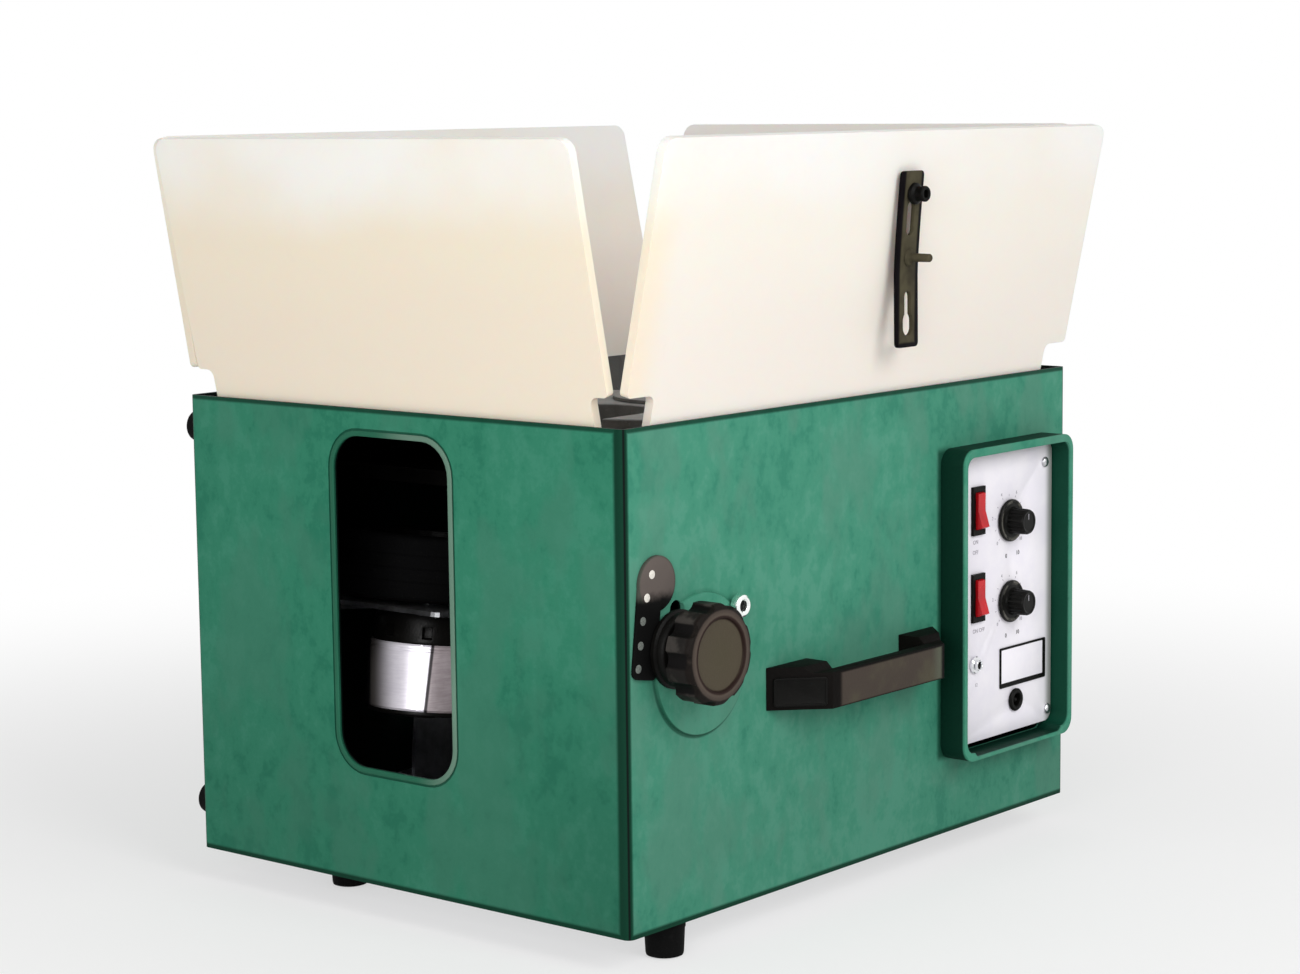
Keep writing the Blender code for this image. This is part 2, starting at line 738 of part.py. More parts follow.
def feed_carousel(spindle):
    low = FOOT_HEIGHT + DECK_TOP_Z + RUNNING_GAP
    place = upright(0, CAROUSEL_Y, low)
    wheel = bevelled(solid_outline([carousel_outline()], CAROUSEL_TALL, place), CAROUSEL_EDGE, 1)
    bore_top = FEED_SHAFT_TOP - RUNNING_GAP + SHAFT_FIT
    bore = disc(FEED_SHAFT_RADIUS + SHAFT_FIT, -RUNNING_GAP, bore_top, place, SMALL_ROUND)
    boolean(wheel, bore)
    finish(wheel, "feed_carousel", GREY_PLASTIC, spindle, smooth=30)
    cap_low = CAROUSEL_TALL + FIT
    cap_top = cap_low + HUB_CAP_TALL
    profile = [(0, cap_top), (HUB_CAP_TOP_RADIUS * 0.6, cap_top), (HUB_CAP_TOP_RADIUS, cap_top - 0.003)]
    profile += [(HUB_CAP_TOP_RADIUS * 1.6, cap_low + HUB_CAP_TALL * 0.5)]
    profile += [(HUB_CAP_RADIUS * 0.62, cap_low + HUB_CAP_TALL * 0.2), (HUB_CAP_RADIUS, cap_low + 0.002)]
    profile += [(HUB_CAP_RADIUS, cap_low), (0, cap_low)]
    finish(turned(profile, place), "carousel_cap", GREY_PLASTIC, spindle)


def pivot_fittings():
    """A bracket on the base pan and a pin through it, on each side of the head."""
    pan_top = PAN_SHEET + FIT
    for side, sign in (("left", -1), ("right", 1)):
        inner = CHEEK_OUTER_X + BRACKET_GAP
        outer = inner + BRACKET_SHEET
        near, far = sorted((sign * inner, sign * outer))
        place = frame((near, PIVOT_Y, FOOT_HEIGHT), (0, 1, 0), (0, 0, 1))
        cap = arc((0, PIVOT_Z), CHEEK_PIVOT_RADIUS, 0, pi, 10)
        rim = [(-BRACKET_WIDTH / 2, pan_top), (BRACKET_WIDTH / 2, pan_top)]
        rim += [(BRACKET_WIDTH / 2, pan_top + BRACKET_FOOT)] + cap
        rim += [(-BRACKET_WIDTH / 2, pan_top + BRACKET_FOOT)]
        hole = circle(PIN_RADIUS + FIT, (0, PIVOT_Z))
        bracket = solid_outline([rim, hole], far - near, place)
        foot_in = sign * (inner - BRACKET_FOOT)
        low = (min(foot_in, sign * outer), PIVOT_Y - BRACKET_WIDTH / 2, FOOT_HEIGHT + pan_top)
        high = (max(foot_in, sign * outer), PIVOT_Y + BRACKET_WIDTH / 2, low[2] + BRACKET_SHEET)
        boolean(bracket, box(low, high), "UNION")
        finish(bracket, f"pivot_bracket_{side}", ZINC_STEEL, smooth=30)
        cheek_inner = CHEEK_OUTER_X - CHEEK_SHEET - FIT
        profile = [(0, outer + FIT + PIN_HEAD), (PIN_HEAD_RADIUS * 0.85, outer + FIT + PIN_HEAD)]
        profile += [(PIN_HEAD_RADIUS * 0.85, outer + FIT), (PIN_RADIUS, outer + FIT)]
        profile += [(PIN_RADIUS, cheek_inner), (PIN_HEAD_RADIUS, cheek_inner)]
        profile += [(PIN_HEAD_RADIUS, cheek_inner - PIN_HEAD), (0, cheek_inner - PIN_HEAD)]
        axis = frame(head_point(0, 0, 0), (0, sign, 0), (0, 0, 1))
        finish(turned(profile, axis, SMALL_ROUND), f"pivot_pin_{side}", ZINC_STEEL)


def stud_place():
    """Distance of the elevation stud from the pivot, on the level head."""
    level = STUD_ANGLE - REST_TILT
    return -STUD_REACH * cos(level), STUD_REACH * sin(level)


def cheek_outline():
    dy, dz = stud_place()
    reach = hypot(dy, dz)
    lean = asin((CHEEK_PIVOT_RADIUS - CHEEK_STUD_RADIUS) / reach)
    line = asin(dz / reach)
    points = arc((0, 0), CHEEK_PIVOT_RADIUS, -pi / 2 - line + lean, pi / 2 - line - lean, 10)
    points += arc((dy, dz), CHEEK_STUD_RADIUS, pi / 2 - line - lean, 3 * pi / 2 - line + lean, 10)
    return points


def head_cradle(head):
    """The bent plate that carries both motors: two arms, a rear web and an upright cheek on each side."""
    outer = CHEEK_OUTER_X
    rim = [(-outer, PLATE_FRONT, 0), (-NOTCH_HALF_WIDTH, PLATE_FRONT, 0.006)]
    rim += [(-NOTCH_HALF_WIDTH, NOTCH_REAR, 0.004), (NOTCH_HALF_WIDTH, NOTCH_REAR, 0.004)]
    rim += [(NOTCH_HALF_WIDTH, PLATE_FRONT, 0.006), (outer, PLATE_FRONT, 0)]
    rim += [(outer, PLATE_REAR, 0), (-outer, PLATE_REAR, 0)]
    holes = [circle(SHAFT_RADIUS + 0.002, (x, WHEEL_Y)) for x in (-WHEEL_X, WHEEL_X)]
    place = Matrix.Translation(head_point(0, 0, 0))
    cradle = solid_outline([filleted(rim, 3), *holes], PLATE_SHEET, place, PLATE_TOP - PLATE_SHEET)
    dy, dz = stud_place()
    for x in (-outer, outer - CHEEK_SHEET):
        side = frame(head_point(x, 0, 0), (0, 1, 0), (0, 0, 1))
        pin_hole = circle(PIN_RADIUS + FIT)
        stud_hole = circle(STUD_RADIUS + FIT, (dy, dz))
        cheek = solid_outline([cheek_outline(), pin_hole, stud_hole], CHEEK_SHEET, side)
        boolean(cradle, cheek, "UNION")
    return finish(cradle, "head_cradle", ZINC_STEEL, head, smooth=30)


def guide_trough(head):
    """Bent sheet that leads the ball from the drop chute to the wheels, closed at its rear."""
    inner = BALL_RADIUS + TROUGH_CLEARANCE
    outer = inner + TROUGH_SHEET
    flange_low = PLATE_TOP + FIT
    flange_high = flange_low + TROUGH_SHEET
    inner_half = asin((BALL_CENTRE - flange_high) / inner)
    outer_half = asin((BALL_CENTRE - flange_low) / outer)
    centre = (0, BALL_CENTRE)
    edge = outer * cos(outer_half) + TROUGH_FLANGE
    rim = arc(centre, outer, pi + outer_half, 2 * pi - outer_half, 12)
    rim += [(edge, flange_low), (edge, flange_high)]
    rim += arc(centre, inner, 2 * pi - inner_half, pi + inner_half, 12)
    rim += [(-edge, flange_high), (-edge, flange_low)]
    across = frame(head_point(0, TROUGH_REAR, 0), (1, 0, 0), (0, 0, 1))
    trough = solid_outline([rim], TROUGH_REAR - TROUGH_FRONT, across)
    stop = arc(centre, outer, pi + outer_half, 2 * pi - outer_half, 12)
    stop += [(GUIDE_HALF_WIDTH, flange_low), (GUIDE_HALF_WIDTH, GUIDE_TOP)]
    stop += [(-GUIDE_HALF_WIDTH, GUIDE_TOP), (-GUIDE_HALF_WIDTH, flange_low)]
    boolean(trough, solid_outline([stop], TROUGH_SHEET, across), "UNION")
    for x in (-GUIDE_HALF_WIDTH, GUIDE_HALF_WIDTH - TROUGH_SHEET):
        low = head_point(x, GUIDE_FRONT, flange_low)
        high = head_point(x + TROUGH_SHEET, TROUGH_REAR, GUIDE_TOP)
        boolean(trough, box(low, high), "UNION")
    return finish(trough, "guide_trough", ALUMINIUM, head, smooth=30)


def throwing_motors(head):
    for side, x in (("left", -WHEEL_X), ("right", WHEEL_X)):
        top = PLATE_TOP - PLATE_SHEET - FIT
        profile = [(0, SHAFT_TOP), (SHAFT_RADIUS, SHAFT_TOP), (SHAFT_RADIUS, top)]
        profile += [(MOTOR_BELL_RADIUS * 0.9, top), (MOTOR_BELL_RADIUS, top - 0.003)]
        profile += [(MOTOR_BELL_RADIUS, MOTOR_CAN_TOP), (MOTOR_RADIUS, MOTOR_CAN_TOP)]
        profile += [(MOTOR_RADIUS, MOTOR_CAN_BOTTOM + 0.003), (MOTOR_RADIUS - 0.003, MOTOR_CAN_BOTTOM)]
        tail = MOTOR_CAN_BOTTOM - MOTOR_TAIL
        profile += [(MOTOR_TAIL_RADIUS, MOTOR_CAN_BOTTOM), (MOTOR_TAIL_RADIUS, tail), (0, tail)]
        axis = Matrix.Translation(head_point(x, WHEEL_Y, 0))
        finish(turned(profile, axis), f"throwing_motor_{side}", DULL_STEEL, head)


def throwing_wheels(head):
    """Two wheels with their own motors: a plastic hub and a soft tyre on each."""
    for side, x in (("left", -WHEEL_X), ("right", WHEEL_X)):
        axis = Matrix.Translation(head_point(x, WHEEL_Y, WHEEL_BOTTOM))
        spindle = axis_empty(f"wheel_axis_{side}", axis, head)
        rim_radius = WHEEL_RADIUS - TYRE_THICKNESS - FIT
        inner_rim = rim_radius - 0.005
        web_low = (WHEEL_TALL - HUB_WEB) / 2
        web_high = web_low + HUB_WEB
        bore_top = SHAFT_TOP - WHEEL_BOTTOM + SHAFT_FIT
        bore = SHAFT_RADIUS + SHAFT_FIT
        boss_top = bore_top + 0.004
        profile = [(0, boss_top), (HUB_BOSS_RADIUS, boss_top), (HUB_BOSS_RADIUS, web_high)]
        profile += [(inner_rim, web_high), (inner_rim, WHEEL_TALL - 0.001), (rim_radius, WHEEL_TALL - 0.001)]
        profile += [(rim_radius, 0.001), (inner_rim, 0.001), (inner_rim, web_low)]
        profile += [(HUB_BOSS_RADIUS, web_low), (HUB_BOSS_RADIUS, 0), (bore, 0), (bore, bore_top), (0, bore_top)]
        finish(turned(profile, axis), f"wheel_hub_{side}", BLACK_PLASTIC, spindle)
        tyre_inner = WHEEL_RADIUS - TYRE_THICKNESS
        crown = WHEEL_RADIUS - 0.0015
        profile = [(tyre_inner, WHEEL_TALL), (crown - 0.003, WHEEL_TALL), (crown + 0.001, WHEEL_TALL - 0.003)]
        profile += [(WHEEL_RADIUS, WHEEL_TALL * 0.82), (crown, WHEEL_TALL / 2), (WHEEL_RADIUS, WHEEL_TALL * 0.18)]
        profile += [(crown + 0.001, 0.003), (crown - 0.003, 0), (tyre_inner, 0)]
        finish(turned(profile, axis), f"wheel_tyre_{side}", DARK_TYRE, spindle)


def elevation_clamp(head):
    """The stud through the arc slot, its washer and the lobed knob that tightens on it."""
    dy, dz = stud_place()
    axis = frame(head_point(HALF_WIDTH, dy, dz), (0, 1, 0), (0, 0, 1))
    head_face = CHEEK_OUTER_X - CHEEK_SHEET - FIT - HALF_WIDTH
    profile = [(0, STUD_END), (STUD_RADIUS - 0.0008, STUD_END), (STUD_RADIUS, STUD_END - 0.001)]
    profile += [(STUD_RADIUS, head_face), (STUD_HEAD_RADIUS, head_face)]
    profile += [(STUD_HEAD_RADIUS, head_face - STUD_HEAD), (0, head_face - STUD_HEAD)]
    finish(turned(profile, axis, SMALL_ROUND), "elevation_stud", ZINC_STEEL, head)
    washer_low = PAD_RISE + FIT
    washer_high = washer_low + WASHER_SHEET
    bore = STUD_RADIUS + FIT
    edge = WASHER_RADIUS - WASHER_ROUNDING
    profile = [(bore, washer_high), (edge, washer_high), (WASHER_RADIUS, washer_high - WASHER_ROUNDING)]
    profile += [(WASHER_RADIUS, washer_low + WASHER_ROUNDING), (edge, washer_low), (bore, washer_low)]
    finish(turned(profile, axis), "elevation_washer", BLACK_PLASTIC, head)
    spindle = axis_empty("knob_axis", axis, head)
    lobes = []
    for i in range(KNOB_LOBES * 8):
        turn = 2 * pi * i / (KNOB_LOBES * 8)
        radius = KNOB_RADIUS - KNOB_ROUNDING - KNOB_SCALLOP * (0.5 + 0.5 * cos(KNOB_LOBES * turn)) ** 2
        lobes.append((radius * cos(turn), radius * sin(turn)))
    knob = outline([lobes], KNOB_FACE - KNOB_BACK - 2 * KNOB_ROUNDING, axis, KNOB_BACK + KNOB_ROUNDING)
    knob.data.bevel_depth = KNOB_ROUNDING
    knob.data.bevel_resolution = 1
    knob = meshed(knob)
    dish = disc(KNOB_DISH_RADIUS, KNOB_FACE - KNOB_DISH_DEPTH, KNOB_FACE + KNOB_DISH_DEPTH, axis)
    boolean(knob, dish)
    boolean(knob, disc(KNOB_STEM_RADIUS, washer_high + FIT, KNOB_BACK + KNOB_ROUNDING, axis), "UNION")
    boolean(knob, disc(STUD_RADIUS + SHAFT_FIT, 0, STUD_END + SHAFT_FIT, axis, SMALL_ROUND))
    finish(knob, "elevation_knob", BLACK_PLASTIC, spindle, smooth=35)


def elevation_scale():
    """The marked plate beside the knob's pad, with a round lobe at its top."""
    pad = (PAD_Y, PAD_Z)
    lobe = (SCALE_LOBE_Y, SCALE_LOBE_Z)
    radius = PAD_RADIUS + SCALE_PAD_GAP
    rim = arc(pad, radius, SCALE_TOP_ANGLE, SCALE_LOW_ANGLE, 10)
    corner = 0.006
    low_left = (SCALE_EDGE_LOW_Y + corner, SCALE_LOW_Z + corner)
    rim += arc(low_left, corner, 1.5 * pi, pi, 5)
    rim += arc(lobe, SCALE_LOBE_RADIUS, pi * 0.97, -pi * 0.08, 14)
    plate = outline([rim], SCALE_SHEET, right_wall(), FIT)
    return finish(plate, "elevation_scale", BLACK_PLASTIC)


def latch_stud():
    rise = LATCH_STUD_RISE
    radius = LATCH_STUD_RADIUS
    bore = LATCH_STUD_BORE
    floor = rise - LATCH_STUD_BORE_DEPTH
    profile = [(0, floor), (bore, floor), (bore, rise), (radius - 0.001, rise)]
    shank = LATCH_SHANK_RADIUS
    profile += [(radius, rise - 0.001), (radius, LATCH_STUD_LIFT), (shank, LATCH_STUD_LIFT)]
    profile += [(shank, FIT), (0, FIT)]
    reach = PAD_RADIUS + shank + FIT
    place = right_wall(PAD_Y + reach * cos(LATCH_STUD_ANGLE), PAD_Z + reach * sin(LATCH_STUD_ANGLE))
    return finish(turned(profile, place, SMALL_ROUND), "latch_stud", CHROME)


def ledge_opening():
    """Width and height of the opening inside the control box's ledge."""
    margin = 2 * (BOX_WALL + BOX_LEDGE)
    return BOX_WIDTH - margin, BOX_TALL - margin


def control_box():
    place = right_wall(BOX_Y, BOX_Z)
    tray = solid_outline([rectangle(BOX_WIDTH, BOX_TALL, BOX_CORNER)], BOX_RISE - FIT, place, FIT)
    edit = bmesh.new()
    edit.from_mesh(tray.data)
    front = max(v.co.z for v in edit.verts)
    rim = [e for e in edit.edges if all(abs(v.co.z - front) < 1e-6 for v in e.verts)]
    rim = [e for e in rim if e.calc_face_angle(0) > radians(45)]
    bmesh.ops.bevel(edit, geom=rim, offset=BOX_ROUNDING, segments=3, profile=0.5, affect="EDGES")
    edit.to_mesh(tray.data)
    edit.free()
    recess = rectangle(BOX_WIDTH - 2 * BOX_WALL, BOX_TALL - 2 * BOX_WALL, BOX_CORNER - BOX_WALL)
    boolean(tray, solid_outline([recess], BOX_RISE, place, FIT + BOX_LEDGE_SHEET))
    through = rectangle(*ledge_opening(), BOX_CORNER - BOX_WALL)
    boolean(tray, solid_outline([through], BOX_RISE, place, -BOX_RISE / 2))
    return finish(tray, "control_box", GREEN_CASING, smooth=30)


def control_plate():
    width = BOX_WIDTH - 2 * BOX_WALL - 2 * FIT
    tall = BOX_TALL - 2 * BOX_WALL - 2 * FIT
    loops = [rectangle(width, tall, BOX_CORNER - BOX_WALL, (BOX_Y, BOX_Z))]
    for z in (SWITCH_HIGH_Z, SWITCH_LOW_Z):
        cutout = (SWITCH_BODY_WIDTH + 2 * FIT, SWITCH_BODY_TALL + 2 * FIT)
        loops.append(rectangle(*cutout, 0, (SWITCH_Y, z)))
    for place in ((DIAL_HIGH_Y, DIAL_HIGH_Z), (DIAL_LOW_Y, DIAL_LOW_Z)):
        loops.append(circle(POT_BUSH_RADIUS + FIT, place))
    loops.append(circle(JACK_BUSH_RADIUS + FIT, (JACK_Y, JACK_Z)))
    loops.append(circle(SOCKET_BODY_RADIUS + FIT, (SOCKET_Y, SOCKET_Z)))
    plate = outline(loops, CONTROL_SHEET, right_wall(), CONTROL_FACE - CONTROL_SHEET)
    return finish(plate, "control_plate", WHITE_PLATE)


def rocker_outline():
    """Side view of a rocker: ends on a circle about its pivot, a shallow ridge in front, a flat heel."""
    low = asin(ROCKER_HEEL / ROCKER_RADIUS)
    high = asin(ROCKER_TIP / ROCKER_RADIUS)
    points = arc((0, 0), ROCKER_RADIUS, -low, high, 4)
    points += [(0, ROCKER_RIDGE)]
    points += arc((0, 0), ROCKER_RADIUS, pi - high, pi + low, 4)
    return points


def switches():
    """Two rocker switches: a body that clips into the plate and the rocker that tips in it."""
    for level, z in (("upper", SWITCH_HIGH_Z), ("lower", SWITCH_LOW_Z)):
        place = right_wall(SWITCH_Y, z, CONTROL_FACE)
        half = (BEZEL_WIDTH / 2, BEZEL_TALL / 2)
        bezel = local_box(place, (-half[0], -half[1], FIT), (half[0], half[1], FIT + BEZEL_SHEET))
        half = (SWITCH_BODY_WIDTH / 2, SWITCH_BODY_TALL / 2)
        core = local_box(place, (-half[0], -half[1], -SWITCH_BODY_DEPTH), (half[0], half[1], FIT + BEZEL_SHEET / 2))
        boolean(bezel, core, "UNION")
        half = (ROCKER_WIDTH / 2 + FIT, ROCKER_RADIUS + FIT)
        well = local_box(place, (-half[0], -half[1], ROCKER_PIVOT - ROCKER_RADIUS / 2), (half[0], half[1], BOX_RISE))
        boolean(bezel, well)
        finish(bezel, f"switch_body_{level}", BLACK_PLASTIC)
        centre = place @ Matrix.Translation((0, 0, ROCKER_PIVOT))
        pivot = axis_empty(f"rocker_axis_{level}", centre)
        side = centre @ frame((-ROCKER_WIDTH / 2, 0, 0), (0, 1, 0), (0, 0, 1))
        rocker = solid_outline([rocker_outline()], ROCKER_WIDTH, side)
        finish(rocker, f"switch_rocker_{level}", RED_ROCKER, pivot, smooth=40)
        pivot.matrix_world = centre @ Matrix.Rotation(-ROCKER_SWING, 4, "X")


def dials():
    """Two control dials, each a fluted knob with a skirt on a potentiometer's shaft."""
    for level, y, z in (("upper", DIAL_HIGH_Y, DIAL_HIGH_Z), ("lower", DIAL_LOW_Y, DIAL_LOW_Z)):
        place = right_wall(y, z, CONTROL_FACE)
        back = -CONTROL_SHEET - FIT
        profile = [(0, POT_SHAFT), (POT_SHAFT_RADIUS, POT_SHAFT), (POT_SHAFT_RADIUS, FIT)]
        profile += [(POT_BUSH_RADIUS, FIT), (POT_BUSH_RADIUS, back), (POT_RADIUS, back)]
        profile += [(POT_RADIUS, back - POT_DEPTH), (0, back - POT_DEPTH)]
        finish(turned(profile, place, SMALL_ROUND), f"dial_pot_{level}", DULL_STEEL)
        spindle = axis_empty(f"dial_axis_{level}", place)
        low = 2 * FIT
        skirt_top = low + DIAL_SKIRT
        profile = [(0, skirt_top), (DIAL_RADIUS, skirt_top), (DIAL_SKIRT_RADIUS, low + DIAL_SKIRT * 0.4)]
        profile += [(DIAL_SKIRT_RADIUS, low), (0, low)]
        knob = applied(turned(profile, place))
        flutes = []
        for i in range(DIAL_FLUTES * 4):
            turn = 2 * pi * i / (DIAL_FLUTES * 4)
            radius = DIAL_RADIUS - DIAL_FLUTE_DEPTH * (0.5 + 0.5 * cos(DIAL_FLUTES * turn))
            flutes.append((radius * cos(turn), radius * sin(turn)))
        grip = solid_outline([flutes], DIAL_LENGTH - low - DIAL_SKIRT / 2, place, low + DIAL_SKIRT / 2)
        top = max(v.co.z for v in grip.data.vertices)
        for vertex in grip.data.vertices:
            if vertex.co.z > top - 1e-6:
                vertex.co.x *= DIAL_TIP_RADIUS / DIAL_RADIUS
                vertex.co.y *= DIAL_TIP_RADIUS / DIAL_RADIUS
        boolean(knob, grip, "UNION")
        boolean(knob, disc(POT_SHAFT_RADIUS + SHAFT_FIT, -FIT, POT_SHAFT + SHAFT_FIT, place, SMALL_ROUND))
        finish(knob, f"dial_knob_{level}", BLACK_PLASTIC, spindle, smooth=35)


def sockets():
    """The remote jack and the charging socket, both held in the plate."""
    place = right_wall(JACK_Y, JACK_Z, CONTROL_FACE)
    profile = [(0, -0.004), (JACK_BORE_RADIUS, -0.004), (JACK_BORE_RADIUS, 0.005), (JACK_BUSH_RADIUS, 0.005)]
    profile += [(JACK_BUSH_RADIUS, 0.0025), (JACK_RADIUS, 0.0022), (JACK_RADIUS, FIT), (JACK_BUSH_RADIUS, FIT)]
    profile += [(JACK_BUSH_RADIUS, -JACK_DEPTH), (0, -JACK_DEPTH)]
    finish(turned(profile, place, SMALL_ROUND), "remote_jack", CHROME)
    place = right_wall(SOCKET_Y, SOCKET_Z, CONTROL_FACE)
    bore = SOCKET_BORE_RADIUS
    profile = [(0, -0.005), (bore, -0.005), (bore, 0.0025), (SOCKET_RADIUS - 0.001, 0.0025)]
    profile += [(SOCKET_RADIUS, 0.0015), (SOCKET_RADIUS, FIT), (SOCKET_BODY_RADIUS, FIT)]
    profile += [(SOCKET_BODY_RADIUS, -SOCKET_DEPTH), (0, -SOCKET_DEPTH)]
    finish(turned(profile, place, SMALL_ROUND), "charge_socket", BLACK_PLASTIC)


def circuit_board():
    """The board that the dials' potentiometers carry, with its relay, heat sink and capacitor."""
    front = CONTROL_FACE - CONTROL_SHEET - FIT - POT_DEPTH - FIT
    back = front - BOARD_SHEET
    wall = right_wall()
    board = local_box(wall, (BOARD_NEAR_Y, BOARD_LOW_Z, back), (BOARD_FAR_Y, BOARD_HIGH_Z, front))
    width = BOARD_FAR_Y - BOARD_NEAR_Y
    tall = BOARD_HIGH_Z - BOARD_LOW_Z
    blocks = (
        (0.14, 0.08, 0.34, 0.24, BOARD_RELAY_TALL),
        (0.55, 0.10, 0.85, 0.42, BOARD_SINK_TALL),
        (0.20, 0.70, 0.75, 0.88, BOARD_CONNECTOR_TALL),
    )
    for left, low, right, high, deep in blocks:
        start = (BOARD_NEAR_Y + left * width, BOARD_LOW_Z + low * tall, back - deep)
        end = (BOARD_NEAR_Y + right * width, BOARD_LOW_Z + high * tall, back + BOARD_SHEET / 2)
        boolean(board, local_box(wall, start, end), "UNION")
    return finish(board, "circuit_board", GREEN_BOARD)


def carry_handle():
    place = frame((HALF_WIDTH, 0, FOOT_HEIGHT + HANDLE_HIGH_Z), (0, 1, 0), (1, 0, 0))
    front_run = HANDLE_GRIP_FRONT_Y - HANDLE_FRONT_Y
    rear_run = HANDLE_REAR_Y - HANDLE_GRIP_REAR_Y
    inner_rise = HANDLE_RISE - HANDLE_THICKNESS
    front_shift = HANDLE_THICKNESS * hypot(front_run, HANDLE_RISE) / HANDLE_RISE
    rear_shift = HANDLE_THICKNESS * hypot(rear_run, HANDLE_RISE) / HANDLE_RISE
    inner_front = HANDLE_FRONT_Y + front_shift
    inner_rear = HANDLE_REAR_Y - rear_shift
    small = HANDLE_BEND - HANDLE_THICKNESS / 2
    corners = [
        (HANDLE_FRONT_Y, FIT, 0),
        (inner_front, FIT, 0),
        (inner_front + front_run * inner_rise / HANDLE_RISE, inner_rise, small),
        (inner_rear - rear_run * inner_rise / HANDLE_RISE, inner_rise, small),
        (inner_rear, FIT, 0),
        (HANDLE_REAR_Y, FIT, 0),
        (HANDLE_GRIP_REAR_Y, HANDLE_RISE, HANDLE_BEND),
        (HANDLE_GRIP_FRONT_Y, HANDLE_RISE, HANDLE_BEND),
    ]
    grip = solid_outline([filleted(corners, 5)], HANDLE_HIGH_Z - HANDLE_LOW_Z, place)
    dip_front = HANDLE_GRIP_FRONT_Y + HANDLE_DIP / 2
    dip_rear = HANDLE_GRIP_REAR_Y - HANDLE_DIP / 2
    side_view = [
        (HANDLE_FRONT_Y - FIT, HANDLE_LOW_Z - FIT, 0),
        (HANDLE_REAR_Y + FIT, HANDLE_LOW_Z - FIT, 0),
        (HANDLE_REAR_Y + FIT, HANDLE_WALL_Z, 0.003),
        (HANDLE_REAR_Y - HANDLE_SHOULDER, HANDLE_HIGH_Z + FIT, 0.004),
        (dip_rear + HANDLE_DIP, HANDLE_HIGH_Z + FIT, HANDLE_DIP_BEND / 2),
        (dip_rear, HANDLE_GRIP_Z, HANDLE_DIP_BEND),
        (dip_front, HANDLE_GRIP_Z, HANDLE_DIP_BEND),
        (dip_front - HANDLE_DIP, HANDLE_HIGH_Z + FIT, HANDLE_DIP_BEND / 2),
        (HANDLE_FRONT_Y + HANDLE_SHOULDER, HANDLE_HIGH_Z + FIT, 0.004),
        (HANDLE_FRONT_Y - FIT, HANDLE_WALL_Z, 0.003),
    ]
    boolean(grip, solid_outline([filleted(side_view, 4)], HANDLE_RISE * 2, right_wall(0, 0, -HANDLE_RISE / 2)), "INTERSECT")
    finish(bevelled(grip, HANDLE_EDGE, 2, 50), "carry_handle", BROWN_BLACK_PLASTIC, smooth=35)
    middle_z = FOOT_HEIGHT + (HANDLE_LOW_Z + HANDLE_GRIP_Z) / 2
    ends = (
        ("front", HANDLE_FRONT_Y, HANDLE_GRIP_FRONT_Y, (0, 0, 1)),
        ("rear", HANDLE_REAR_Y, HANDLE_GRIP_REAR_Y, (0, 0, -1)),
    )
    for end, foot_y, grip_y, across in ends:
        foot = Vector((HALF_WIDTH, foot_y, middle_z))
        slope = Vector((HALF_WIDTH + HANDLE_RISE, grip_y, middle_z)) - foot
        leg = frame(foot + slope / 2, slope, across)
        cap = rectangle(HANDLE_CAP_LENGTH, HANDLE_CAP_WIDTH, 0.002, steps=2)
        cap = outline([cap], HANDLE_CAP_SHEET, leg, FIT)
        finish(cap, f"handle_cap_{end}", BLACK_PLASTIC)


def battery_set():
    rear = INNER_HALF_DEPTH - BATTERY_REAR_GAP
    low_z = FOOT_HEIGHT + PAN_SHEET + FIT
    low = (-BATTERY_WIDTH / 2, rear - BATTERY_DEPTH, low_z)
    high = (BATTERY_WIDTH / 2, rear, low_z + BATTERY_TALL)
    battery = bevelled(box(low, high), BATTERY_EDGE, 2)
    for x in (-0.38, 0.38):
        post = upright(x * BATTERY_WIDTH, rear - BATTERY_DEPTH * 0.2, high[2])
        boolean(battery, disc(0.005, -0.003, 0.006, post, 12), "UNION")
    finish(battery, "battery", DARK_BATTERY, smooth=30)
    middle = rear - BATTERY_DEPTH / 2
    place = frame((0, middle + CLAMP_WIDTH / 2, low_z), (1, 0, 0), (0, 0, 1))
    inner = BATTERY_WIDTH / 2 + FIT
    outer = inner + CLAMP_SHEET
    top = BATTERY_TALL + FIT
    half = [(outer + CLAMP_FOOT, 0), (outer + CLAMP_FOOT, CLAMP_SHEET), (outer, CLAMP_SHEET)]
    half += [(outer, top + CLAMP_SHEET)]
    inside = [(-inner, top), (inner, top), (inner, 0)]
    rim = half + [(-x, z) for x, z in reversed(half)] + [(-inner, 0)] + inside
    finish(outline([rim], CLAMP_WIDTH, place), "battery_clamp", ZINC_STEEL)


def panel_outline(half, tab_half):
    """A hopper panel: a tab that drops into the casing, a shoulder on each side and round top corners."""
    rim = HOPPER_RISE / cos(HOPPER_LEAN)
    step = HOPPER_STEP / cos(HOPPER_LEAN)
    right = [
        (tab_half, -HOPPER_TAB, STEP_RADIUS),
        (tab_half, step, STEP_RADIUS),
        (half, step, SHOULDER_RADIUS),
        (half, rim, RIM_RADIUS),
    ]
    return filleted(right + [(-x, y, radius) for x, y, radius in reversed(right)])


def hopper_panels(hopper):
    sizes = {"front": (FRONT_HALF, FRONT_TAB_HALF), "rear": (FRONT_HALF, FRONT_TAB_HALF)}
    sizes |= {"left": (SIDE_HALF, SIDE_TAB_HALF), "right": (SIDE_HALF, SIDE_TAB_HALF)}
    for side, (half, tab_half) in sizes.items():
        panel = solid_outline([panel_outline(half, tab_half)], HOPPER_SHEET, hopper_frame(side), -HOPPER_SHEET)
        finish(bevelled(panel, PANEL_EDGE, 1, 60), f"hopper_panel_{side}", WHITE_HOPPER, hopper, smooth=30)


